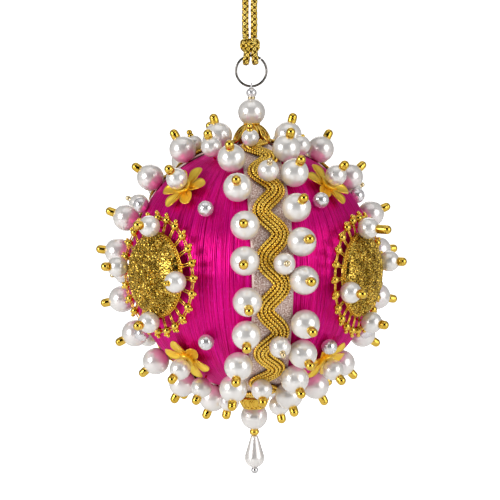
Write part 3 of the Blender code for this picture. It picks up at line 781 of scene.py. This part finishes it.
def ribbon_sheet(name, azimuth):
    """Ribbon laid from cap to cap, slightly crowned, with small waves in its edges."""
    rows, columns = 150, 22
    along = np.linspace(-RIBBON_END, RIBBON_END, rows)[:, None]
    share = np.linspace(-1.0, 1.0, columns)[None]
    edge = np.abs(share) ** 6
    wave = 0.00010 * np.sin(np.radians(along * 9.0) + share * 2.0) * edge
    wave = wave + 0.00006 * np.sin(np.radians(along * 31.0) + share * 5.0) * edge
    taper = 1.0 - 0.25 * np.clip((np.abs(along) - 66.0) / 14.0, 0.0, 1.0)
    side = share * (RIBBON_HALF_WIDTH + 0.00012 * np.sin(np.radians(along * 5.0))) * taper
    lower = RIBBON_UNDER + wave + 0.00012
    upper = lower + RIBBON_THICKNESS * (1.0 - 0.55 * np.abs(share) ** 14)
    top = on_ribbon(azimuth, along, side, upper)
    bottom = on_ribbon(azimuth, along, side, lower)
    marks = np.stack(np.broadcast_arrays(share * 0.5 + 0.5, along / (2.0 * RIBBON_END) + 0.5), -1)
    shape = Shape()
    both = np.concatenate([top.reshape(-1, 3), bottom.reshape(-1, 3)])
    shape.add(both, sheet_faces(rows, columns), mark=np.concatenate([marks.reshape(-1, 2)] * 2))
    item = show("ribbon_sheet_" + name, shape, ribbon_cloth, ("ribbon_" + name,))


def braid_strands(name, azimuth):
    """Rick-rack of twisted cords that run side by side in one wave."""
    shape = Shape()
    count = 640
    along = np.linspace(-BRAID_END, BRAID_END, count)
    phase = 2.0 * math.pi * (along + BRAID_PHASE) / BRAID_WAVE
    middle = np.stack([np.radians(along) * STRAND_AT, BRAID_SWING * np.cos(phase)], -1)
    across = beside_line(middle)
    for k in range(BRAID_STRANDS):
        offset = (k - (BRAID_STRANDS - 1) / 2.0) * STRAND_SPACING
        flat = middle + offset * across
        run = run_along(flat)
        at = np.arange(0.0, run[-1], STRAND_STEP)
        flat = np.stack([np.interp(at, run, flat[:, 0]), np.interp(at, run, flat[:, 1])], -1)
        sideways = beside_line(flat)
        crown = -0.00014 * abs(k - 2) ** 1.5
        start = rng.uniform(0.0, 2.0 * math.pi)
        for ply in range(2):
            angle = at / PLY_PITCH * 2.0 * math.pi * (1 if k % 2 else -1) + start + ply * math.pi
            place = flat + PLY_TURN_RADIUS * np.cos(angle)[:, None] * sideways
            height = STRAND_AT + crown + PLY_TURN_RADIUS * np.sin(angle)
            points = on_ribbon(azimuth, np.degrees(place[:, 0] / STRAND_AT), place[:, 1], height)
            # the ply's height is the mark from which the braid gold paints shade where the ply turns
            # under
            add_strand(shape, points, PLY_RADIUS, 5, 0.5 + 0.5 * np.sin(angle))
    show("braid_strands_" + name, shape, braid_gold, ("braid_" + name,))


for name, azimuth in RIBBONS.items():
    ribbon_sheet(name, azimuth)
    braid_strands(name, azimuth)


# ---------------------------------------------------------------- pearls on pins

def pearl_part(radius):
    """Bead with a drilled hole at each end, centred on its own middle."""
    body = [(radius * 0.09, radius * 0.90)] + arc(radius, 0.0, 6.0, 174.0, 20)
    body.append((radius * 0.09, -radius * 0.90))
    return lathe(body, 32)


def capsule_part(start, tube_length):
    """Gold tube bead on top of a pearl, closed by the pin's round head of the same width."""
    radius, top = CAPSULE_RADIUS, start + tube_length
    profile = arc(radius, top, 1.0, 88.0, 10)
    profile += [(radius * 0.955, top - 0.00006), (radius * 0.99, top - 0.00016),
                (radius, top - 0.00030), (radius, start + 0.00040),
                (radius * 0.97, start + 0.00020), (radius * 0.86, start - 0.0001)]
    return lathe(profile, 24)


def bead_head_part(start, size=1.0):
    """Tiny bead under a small round pin head."""
    profile = arc(0.00082 * size, start + 0.00125 * size, 1.0, 128.0, 7)
    profile += arc(0.00090 * size, start + 0.00020, 45.0, 150.0, 6)
    return lathe(profile, 16)


def shaft_part(length):
    profile = [(PIN_RADIUS * 0.9, 0.0), (PIN_RADIUS, -0.0001), (PIN_RADIUS, -length)]
    return lathe(profile, 8)


big_part, mid_part = pearl_part(BIG_PEARL * PEARL_FULLNESS), pearl_part(MID_PEARL * PEARL_FULLNESS)
small_part = pearl_part(SMALL_PEARL)


def tilted(outward, amount):
    """A pin never stands quite straight."""
    lean = Vector(rng.normal(0.0, math.radians(amount), 3))
    return (outward + lean).normalized()


def pearls_on_pins(name, places, part, radius, head, head_material, replaced, lean=2.0):
    """Pearls with heads and shafts: places are (outward, distance of the pearl, foot radius)."""
    beads, heads = Shape(), Shape()
    for outward, distance, foot, *points in places:
        axis = tilted(points[0] if points else outward, lean)
        matrix = Matrix.Translation(CENTRE + outward * distance) @ facing(axis)
        spin = matrix @ Matrix.Rotation(rng.uniform(0, 6.28), 4, "Z")
        beads.add(*part, matrix=spin)
        heads.add(*head, matrix=matrix)
        heads.add(*shaft_part(distance - foot - radius * 0.4),
                  matrix=matrix @ Matrix.Translation((0.0, 0.0, -radius * 0.4)))
    show(name + "_beads", beads, pearl, replaced)
    show(name + "_heads", heads, head_material)


capsule_big = capsule_part(BIG_PEARL - 0.0001, 0.0016)
capsule_mid = capsule_part(MID_PEARL - 0.0001, 0.0013)
for (ribbon, edge), row in PEARL_ROWS.items():
    droop = Vector((0.03, 0.0, -0.19)) if (ribbon, edge) == ("front", "left") else Vector()
    places = []
    for along, side in row:
        outward = ribbon_direction(RIBBONS[ribbon], along, side * 0.001 / BIG_PEARL_AT)
        places.append((outward, BIG_PEARL_AT, SEAT, outward + droop))
    pearls_on_pins("row_%s_%s" % (ribbon, edge), places, big_part, BIG_PEARL, capsule_big, gold,
                   ("pearl_row_%s_%s" % (ribbon, edge),))

for kind, part, size, head, material, slot, low, high in (
        ("middle", mid_part, MID_PEARL, bead_head_part(MID_PEARL - 0.0002), champagne, "silver",
         -45.0, 60.0),
        ("upper", pearl_part(UPPER_PEARL * PEARL_FULLNESS), UPPER_PEARL,
         bead_head_part(UPPER_PEARL - 0.0002, 1.1), gold, "gold", 60.0, 90.0),
        ("lower", mid_part, MID_PEARL, capsule_mid, gold, "gold", -90.0, -45.0)):
    places = [(ribbon_direction(RIBBONS[ribbon], along, side * 0.001 / BRAID_PEARL_AT),
               BRAID_PEARL_AT, STRAND_AT)
              for ribbon, row in BRAID_PEARLS.items() for along, side in row if low < along <= high]
    pearls_on_pins("braid_pearls_" + kind, places, part, size, head, material, ())

places = [(direction(azimuth, latitude), FLOWER_PEARL_AT, SEAT)
          for azimuth, latitude, _ in FLOWERS.values()]
pearls_on_pins("flower_pearls", places, mid_part, MID_PEARL, capsule_mid, gold,
               ["flower_pearl_" + name for name in FLOWERS])

pin_head = lathe(arc(0.0006, MID_PEARL, 4.0, 110.0, 7), 14)
capped = [n for n in PANEL_PEARLS if n != "upper_right"]
for kind, head, names in (("panel_pearls", capsule_mid, capped),
                          ("plain_pearl", pin_head, ["upper_right"])):
    places = []
    for place_name in names:
        azimuth, latitude, foot = PANEL_PEARLS[place_name]
        places.append((direction(azimuth, latitude), foot + 0.001 + MID_PEARL, foot))
    pearls_on_pins(kind, places, mid_part, MID_PEARL, head, gold,
                   ["panel_pearl_" + n for n in names])

small_beads = Shape()
for azimuth, latitude in SMALL_PINS:
    small_beads.add(*small_part, matrix=stand(direction(azimuth, latitude), SMALL_PEARL_AT))
show("small_pins", small_beads, silver_pearl)


# ---------------------------------------------------------------- rosettes

def rosette_pin(name, turn, lean_degrees):
    """Where a rosette's pin stands, and the way that it points: nearly square to the disc."""
    middle = direction(*ROSETTES[name])
    up = (Vector((0.0, 0.0, 1.0)) - middle * middle.z).normalized()
    around = Matrix.Rotation(math.radians(turn), 3, middle) @ up
    lean = math.radians(lean_degrees)
    outward = middle * math.cos(lean) + around * math.sin(lean)
    return outward, (outward + 1.6 * middle).normalized()


def dome_height(radius):
    """Height of the rosette's dome over the ball's centre at a distance from its axis."""
    share = np.clip(radius / DOME_RADIUS, 0.0, 1.0)
    return RIM_HEIGHT + (DOME_TOP - RIM_HEIGHT) * np.sqrt(1.0 - share ** 2 * 0.97)


def glitter_dome(matrix, name):
    """Dome covered with small facetted gold grains that catch the light at all angles."""
    base = [(r * DOME_RADIUS, float(dome_height(r * DOME_RADIUS)) - 0.0002)
            for r in (0.02, 0.15, 0.3, 0.45, 0.6, 0.72, 0.82, 0.9, 0.96, 1.0)]
    base.append((DOME_RADIUS, RIM_HEIGHT - 0.0008))
    shape = Shape()
    shape.add(*lathe(base, 48), matrix=matrix)
    grains, golden_angle = 2900, 2.399963
    octa = np.array([(1, 0, 0), (-1, 0, 0), (0, 1, 0), (0, -1, 0), (0, 0, 1), (0, 0, -1)], float)
    faces = np.array([(0, 2, 4), (2, 1, 4), (1, 3, 4), (3, 0, 4), (2, 0, 5), (1, 2, 5), (3, 1, 5),
                      (0, 3, 5)])
    for i in range(grains):
        reach = DOME_RADIUS * math.sqrt((i + 0.5) / grains)
        angle = i * golden_angle + rng.normal(0.0, 0.03)
        reach = min(reach + rng.normal(0.0, 0.00010), DOME_RADIUS)
        spin = np.linalg.qr(rng.normal(0.0, 1.0, (3, 3)))[0]
        size = rng.uniform(0.00020, 0.00034) * np.array((1.0, 1.0, rng.uniform(0.7, 1.1)))
        points = (octa * size) @ spin.T
        points += (reach * math.cos(angle), reach * math.sin(angle),
                   float(dome_height(reach)) + rng.uniform(-0.0001, 0.0001))
        shape.add(points, triangles=faces, matrix=matrix)
    show("glitter_dome_" + name, shape, glitter_gold, smooth=False)


def rosette_rim(matrix, name):
    """Openwork rim: balls joined by paired bars, paired spokes to the dome, and picots outside."""
    shape = Shape()
    ball = lathe(arc(RIM_BALL, 0.0, 4.0, 176.0, 9), 14)
    picot = lathe(arc(PICOT_BALL * 1.15, 0.0, 6.0, 174.0, 6), 8)
    small_picot = lathe(arc(PICOT_BALL * 0.8, 0.0, 6.0, 174.0, 6), 8)
    step = 2.0 * math.pi / RIM_BALLS
    inner = DOME_RADIUS + 0.0002

    def at(radius, angle, side=0.0, lift=0.0):
        return (radius * math.cos(angle) - side * math.sin(angle),
                radius * math.sin(angle) + side * math.cos(angle), RIM_HEIGHT + lift)

    for i in range(RIM_BALLS):
        angle = i * step
        shape.put(ball, matrix, at(RIM_RADIUS, angle, 0.0, -0.0007))
        shape.put(picot, matrix, at(RIM_RADIUS + 0.00150, angle, 0.00035, -0.0006))
        shape.put(small_picot, matrix, at(RIM_RADIUS + 0.00115, angle, -0.00070, -0.0004))
        for side in (-0.00050, 0.00050):
            spoke = [at(inner, angle, side * 0.66, -0.0001),
                     at(0.5 * (inner + RIM_RADIUS), angle, side * 0.66, -0.0003),
                     at(RIM_RADIUS, angle, side * 0.66, -0.0007)]
            shape.add(*tube(spoke, 0.00021, 6), matrix=matrix)
            bar = [at(RIM_RADIUS + side * 0.8, angle, 0.0, -0.0007),
                   at(RIM_RADIUS + side * 0.8, angle + step, 0.0, -0.0007)]
            shape.add(*tube(bar, 0.00021, 6), matrix=matrix)
    circle = np.linspace(0.0, 2.0 * math.pi, 97)[:-1]
    for radius, lift, thick in ((inner, 0.0, 0.00024), (inner + 0.00040, -0.0001, 0.00018)):
        line = np.stack([radius * np.cos(circle), radius * np.sin(circle),
                         np.full(96, RIM_HEIGHT + lift)], -1)
        shape.add(*tube(line, thick, 6, True), matrix=matrix)
    nub = lathe(arc(0.00042, 0.0, 8.0, 172.0, 5), 7)
    for i in range(72):
        shape.put(nub, matrix, at(inner, (i + 0.5) * 2.0 * math.pi / 72, 0.0, 0.00032))
    show("rosette_rim_" + name, shape, gold, ("rosette_" + name,))


small_head = bead_head_part(MID_PEARL - 0.0003)
long_capsule = capsule_part(MID_PEARL - 0.0001, 0.0030)
odd_heads = {("left", "right"): small_head, ("right", "top"): long_capsule}
for name, (azimuth, latitude) in ROSETTES.items():
    middle = CENTRE + direction(azimuth, latitude) * RIM_HEIGHT
    turn = z_turn(ROSETTE_TURNS[name])
    turn = Matrix.Translation(middle) @ turn @ Matrix.Translation(-middle)
    matrix = turn @ stand(direction(azimuth, latitude), 0.0)
    glitter_dome(matrix, name)
    rosette_rim(matrix, name)
    for end, (around, lean) in ROSETTE_PINS[name].items():
        outward, axis = rosette_pin(name, around, lean)
        if (name, end) == ("right", "top"):
            axis = (axis + Vector((0.22, 0.0, -0.20))).normalized()
        distance = ROSETTE_PEARL_AT - (0.0009 if (name, end) == ("right", "right") else 0.0)
        head = odd_heads.get((name, end), capsule_mid)
        piece = "rosette_pearl_%s_%s" % (name, end)
        pearls_on_pins(piece, [(outward, distance, RIM_HEIGHT, axis)], mid_part, MID_PEARL, head,
                       gold, (piece,), 1.5)


# ---------------------------------------------------------------- flowers

def petal_part(start, reach, half_width):
    """One spoon-shaped petal along +X: narrow at its foot, cupped, with a round tip."""
    rows, columns = 12, 9
    along = np.linspace(0.0, 1.0, rows)[:, None]
    share = np.linspace(-1.0, 1.0, columns)[None]
    along = 1.0 - (1.0 - along) ** 1.35
    foot = 0.46 + 0.54 * np.sin(np.clip(along / 0.62, 0.0, 1.0) * math.pi * 0.5) ** 1.5
    tip = np.sqrt(np.clip(1.0 - (np.clip(along - 0.60, 0.0, 1.0) / 0.405) ** 2, 0.004, 1.0))
    x = start + (reach - start) * along
    y = share * half_width * foot * tip
    cup = 0.00085 * share ** 2 * np.clip(foot * tip, 0.0, 1.0) ** 2
    z = 0.0002 + cup + 0.00075 * along ** 1.5
    top = np.stack(np.broadcast_arrays(x, y, z), -1)
    bottom = top - np.array((0.0, 0.0, 0.00028))
    points = np.concatenate([top.reshape(-1, 3), bottom.reshape(-1, 3)])
    return points, sheet_faces(rows, columns, flipped=True)


def flower(name):
    azimuth, latitude, turn = FLOWERS[name]
    matrix = stand(direction(azimuth, latitude), FLOWER_BASE, turn)
    shape = Shape()
    petal = petal_part(0.0011, FLOWER_REACH + 0.0003, 0.00205)
    vein = tube([(0.0014, 0.0, 0.00022), (0.0030, 0.0, 0.00052), (0.0046, 0.0, 0.00072)],
                (0.00022, 0.00015, 0.00006), 6)
    for i in range(PETALS):
        spin = matrix @ z_turn(60.0 * i)
        shape.add(*petal, matrix=spin)
        shape.add(*vein, matrix=spin)
    boss = [(0.0003, 0.0012), (0.0014, 0.0014), (0.0021, 0.0018), (0.00235, 0.0017), (0.0024, 0.0014),
            (0.0020, 0.0007), (0.0018, 0.0001), (0.0017, -0.00015)]
    shape.add(*lathe(boss, 28), matrix=matrix)
    show("stamped_flower_" + name, shape, stamped_gold, ("flower_" + name,))


for name in FLOWERS:
    flower(name)


# ---------------------------------------------------------------- caps, ring and drop

centre_matrix = Matrix.Translation(CENTRE)


def cap_height(radius):
    """Height of the drooping top cap over the ball's centre."""
    share = radius / CAP_RADIUS
    return CAP_TOP - 0.0002 - 0.0050 * share ** 3.0


def top_cap():
    """Openwork bead cap: six drooping petals of wire over thin plates."""
    shape = Shape()
    tip = lathe(arc(0.00050, 0.0, 5.0, 175.0, 7), 10)
    petal = [(0.0014, 0.0), (0.0024, 0.0011), (0.0036, 0.0017), (0.0048, 0.0017),
             (0.0056, 0.0010), (0.0060, 0.0)]
    for i in range(PETALS):
        spin = centre_matrix @ z_turn(60.0 * i + 30.0)
        loop = []
        for k in range(24):
            angle = 2.0 * math.pi * k / 24
            along = 0.5 - 0.5 * math.cos(angle)
            r = 0.0016 + (CAP_RADIUS * 1.02 - 0.0016) * along
            y = 0.00195 * math.sin(angle) * (0.45 + 0.75 * along)
            loop.append((r, y, cap_height(math.hypot(r, y))))
        shape.add(*tube(loop, 0.00044, 6, True), matrix=spin)
        rib = [(r, 0.0, cap_height(r)) for r in (0.0015, 0.0028, 0.0041, 0.0054)]
        shape.add(*tube(rib, 0.00020, 6), matrix=spin)
        shape.put(tip, spin, (0.0057, 0.0, cap_height(0.0057) + 0.0001))
        for side in (-1.0, 1.0):
            vein = [(0.0018, 0.0, cap_height(0.0018)), (0.0034, side * 0.0006, cap_height(0.0035)),
                    (0.0047, side * 0.0011, cap_height(0.0048))]
            shape.add(*tube(vein, 0.00016, 6), matrix=spin)
        plate = []
        for share in np.linspace(-1.0, 1.0, 7):
            plate.append([(r, y * share, cap_height(math.hypot(r, y * share)) - 0.00015)
                          for r, y in petal])
        shape.add(np.array(plate), grid_quads(7, len(petal), False), matrix=spin)
    skirt = [(0.0018, 0.0422), (0.0028, 0.0414), (0.0036, 0.0402), (0.0041, 0.0388), (0.0042, 0.0376)]
    shape.add(*lathe(skirt, 30), matrix=centre_matrix)
    collar = [(0.0006, CAP_TOP - 0.0002), (0.0014, CAP_TOP - 0.0001), (0.0020, CAP_TOP + 0.0003),
              (0.0023, CAP_TOP + 0.0002), (0.0022, CAP_TOP - 0.0006), (0.0012, CAP_TOP - 0.0010),
              (0.0008, CAP_TOP - 0.0020), (0.0008, SEAT)]
    shape.add(*lathe(collar, 28), matrix=centre_matrix)
    grain = lathe(arc(0.00036, 0.0, 8.0, 172.0, 6), 8)
    shape.bead_circle(grain, 18, 0.0022, CAP_TOP + 0.0001, centre_matrix)
    show("openwork_cap", shape, cap_gold, ("top_cap",))


def turned_piece(name, profile, segments, material, replaced=()):
    """One turned part on the upright axis, its profile's heights taken from the ball's centre."""
    shape = Shape()
    shape.add(*lathe(profile, segments), matrix=centre_matrix)
    show(name, shape, material, replaced)


top_cap()

pole_pearls = Shape()
for height in (TOP_PEARL_AT, -BOTTOM_PEARL_AT):
    pole_pearls.put(big_part, centre_matrix, (0.0, 0.0, height))
show("pole_pearls", pole_pearls, pearl, ("top_pearl", "bottom_pearl"))

crimp = [(0.0004, TOP_BEAD_AT - 0.0011), (0.0010, TOP_BEAD_AT - 0.0012),
         (0.0012, TOP_BEAD_AT - 0.0014), (0.0012, TOP_BEAD_AT - 0.0017),
         (0.0010, TOP_BEAD_AT - 0.0019), (0.0003, TOP_BEAD_AT - 0.0020)]
turned_piece("crimp", crimp, 20, champagne)

top_metal = Shape()
top_metal.add(*lathe(arc(TOP_BEAD, TOP_BEAD_AT, 2.0, 178.0, 18), 28), matrix=centre_matrix)
eye = [(0.0, 0.00080 * math.cos(a), EYE_AT + 0.00095 * math.sin(a))
       for a in np.linspace(-0.42 * math.pi, 1.36 * math.pi, 26)]
top_metal.add(*tube(eye, 0.00024, 8), matrix=centre_matrix)
stem = [(0.0, 0.0, TOP_BEAD_AT), (0.0, 0.0, EYE_AT - 0.0008)]
top_metal.add(*tube(stem, 0.00030, 8), matrix=centre_matrix)
show("top_bead_and_eye", top_metal, silver_pearl, ("top_bead",))

ring_shape = Shape()
ring_line = [(RING_RADIUS * math.cos(a), 0.00012 * math.sin(a * 0.5),
              RING_AT + RING_RADIUS * math.sin(a)) for a in np.linspace(0.9, 0.9 + 6.24, 120)]
ring_shape.add(*tube(ring_line, RING_WIRE + 0.00002, 12), matrix=centre_matrix)
show("jump_ring", ring_shape, dark_silver, ("ring",))

bottom = Shape()
dish = [(0.0004, -0.0376), (0.0022, -0.0377), (0.0038, -0.0380), (0.0043, -0.0385),
        (0.0041, -0.0390), (0.0030, -0.0396), (0.0018, -0.0402), (0.0012, -0.0410),
        (0.0010, -0.0418), (0.0004, -0.0420)]
bottom.add(*lathe(dish, 36), matrix=centre_matrix)
bead = lathe(arc(0.00040, 0.0, 6.0, 174.0, 7), 10)
bottom.bead_circle(bead, 24, 0.0042, -0.0386, centre_matrix)

bowl = [(0.0008, -0.0399), (0.0030, -0.0398), (0.0041, -0.0400), (0.0044, -0.0405),
        (0.0043, -0.0412), (0.0040, -0.0420), (0.0036, -0.0427), (0.0032, -0.0432),
        (0.0027, -0.0434)]
bottom.add(*lathe(bowl, 36), matrix=centre_matrix)
for radius, height, thick in ((0.0044, -0.0403, 0.00040), (0.0032, -0.0433, 0.00030)):
    hem = [(radius * math.cos(a), radius * math.sin(a), height)
           for a in np.linspace(0.0, 2.0 * math.pi, 49)[:-1]]
    bottom.add(*tube(hem, thick, 8, True), matrix=centre_matrix)
for i in range(9):
    spin = centre_matrix @ z_turn(40.0 * i)
    for size, thick in ((1.0, 0.00026), (0.5, 0.00018)):
        loop = []
        for k in range(20):
            angle = 2.0 * math.pi * k / 20
            depth = 0.5 - 0.5 * math.cos(angle)
            radius = 0.0045 - 0.0012 * depth ** 1.5
            turn = 0.33 * size * math.sin(angle)
            loop.append((radius * math.cos(turn), radius * math.sin(turn), -0.0404 - 0.0029 * depth))
        bottom.add(*tube(loop, thick, 6, True), matrix=spin)
show("bottom_openwork_cap", bottom, gold, ("bottom_cap",))

rondelle_profile = [(0.00060 + 0.00090 * math.sin(a), -0.0511 + 0.00098 * math.cos(a))
                    for a in np.linspace(-0.15 * math.pi, 1.15 * math.pi, 19)]
turned_piece("gold_rondelle", rondelle_profile, 30, gold, ("rondelle",))

drop_profile = [(0.0004, -0.0522), (0.0009, -0.05222), (0.00112, -0.0524)]
drop_profile += [(0.00115 + 0.00176 * t, -0.0525 - 0.0058 * t) for t in np.linspace(0.03, 0.97, 14)]
drop_profile += arc(0.00304, -0.0592, 73.2, 172.0, 22)
turned_piece("drop_pearl", drop_profile, 48, pearl, ("drop",))

end_profile = [(0.0003, -0.0619), (0.0005, -0.0620), (0.0005, -0.0623)]
end_profile += arc(0.00110, -0.0631, 26.0, 176.0, 14)
turned_piece("end_pin_bead", end_profile, 20, silver, ("end_bead",))


# ---------------------------------------------------------------- stage and light

def white_look():
    look = Looks("studio_white")
    cloudy = look.noise(look.place(), 3.0)
    look.feed(Base_Color=look.ramp(cloudy, ((0.3, (0.93, 0.93, 0.93)), (0.7, (0.96, 0.96, 0.96)))))
    look.set(Roughness=0.9)
    look.shader.inputs["Emission Color"].default_value = (1.0, 1.0, 1.0, 1.0)
    ray = look.node("ShaderNodeLightPath")
    look.feed(Emission_Strength=look.span(ray.outputs["Is Camera Ray"], 0.06, 1.0))
    return look.material


FLOOR_DROP = 0.12                 # under the part's lowest point
floor_z = cad_low.z - FLOOR_DROP
sweep = Shape()
rows = [(-3.0, floor_z), (0.8, floor_z)]
for k in range(1, 10):
    angle = math.radians(10.0 * k)
    rows.append((0.8 + 0.6 * math.sin(angle), floor_z + 0.6 - 0.6 * math.cos(angle)))
rows.append((1.4, floor_z + 3.2))
width = np.linspace(-4.0, 4.0, 3)
points = np.array([[(x, y, z) for x in width] for y, z in rows])
sweep.add(points, grid_quads(len(rows), len(width), False))
floor = bpy.data.objects.new("studio_sweep", sweep.mesh("studio_sweep", True))
floor.data.materials.append(white_look())
bpy.context.scene.collection.objects.link(floor)
floor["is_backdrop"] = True


def soft_light(name, azimuth, lift, distance, size, power):
    """Round soft light that looks at the ball's centre."""
    data = bpy.data.lights.new(name, "AREA")
    data.shape = "DISK"
    data.size = size
    data.energy = power
    item = bpy.data.objects.new(name, data)
    away = direction(azimuth, lift)
    item.location = CENTRE + away * distance
    item.rotation_mode = "QUATERNION"
    item.rotation_quaternion = (-away).to_track_quat("-Z", "Y")
    bpy.context.scene.collection.objects.link(item)


soft_light("key_left", -53.0, 12.0, 0.70, 0.42, 2.5)
soft_light("key_right", 52.0, 12.0, 0.70, 0.60, 1.9)
soft_light("top_box", 0.0, 70.0, 0.80, 0.8, 0.9)
soft_light("back_fill", 180.0, 30.0, 1.0, 0.8, 1.6)

world = bpy.data.worlds.new("studio")
bpy.context.scene.world = world
world.use_nodes = True
tree = world.node_tree
for node in list(tree.nodes):
    tree.nodes.remove(node)
out = tree.nodes.new("ShaderNodeOutputWorld")
seen = tree.nodes.new("ShaderNodeBackground")
seen.inputs["Color"].default_value = (1.0, 1.0, 1.0, 1.0)
around = tree.nodes.new("ShaderNodeBackground")
around.inputs["Strength"].default_value = 0.5
coords = tree.nodes.new("ShaderNodeTexCoord")
split = tree.nodes.new("ShaderNodeSeparateXYZ")
ramp = tree.nodes.new("ShaderNodeValToRGB")
spread = tree.nodes.new("ShaderNodeMapRange")
spread.inputs["From Min"].default_value = -1.0
tree.links.new(coords.outputs["Generated"], split.inputs["Vector"])
tree.links.new(split.outputs["Y"], spread.inputs["Value"])
tree.links.new(spread.outputs["Result"], ramp.inputs["Fac"])
elements = ramp.color_ramp.elements
elements[0].position, elements[0].color = 0.13, (0.010, 0.010, 0.012, 1.0)
elements[1].position, elements[1].color = 0.36, (0.86, 0.86, 0.86, 1.0)
tree.links.new(ramp.outputs["Color"], around.inputs["Color"])
ray = tree.nodes.new("ShaderNodeLightPath")
mix = tree.nodes.new("ShaderNodeMixShader")
tree.links.new(ray.outputs["Is Camera Ray"], mix.inputs["Fac"])
tree.links.new(around.outputs["Background"], mix.inputs[1])
tree.links.new(seen.outputs["Background"], mix.inputs[2])
tree.links.new(mix.outputs["Shader"], out.inputs["Surface"])

bpy.context.scene.view_settings.view_transform = "Standard"

low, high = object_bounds()
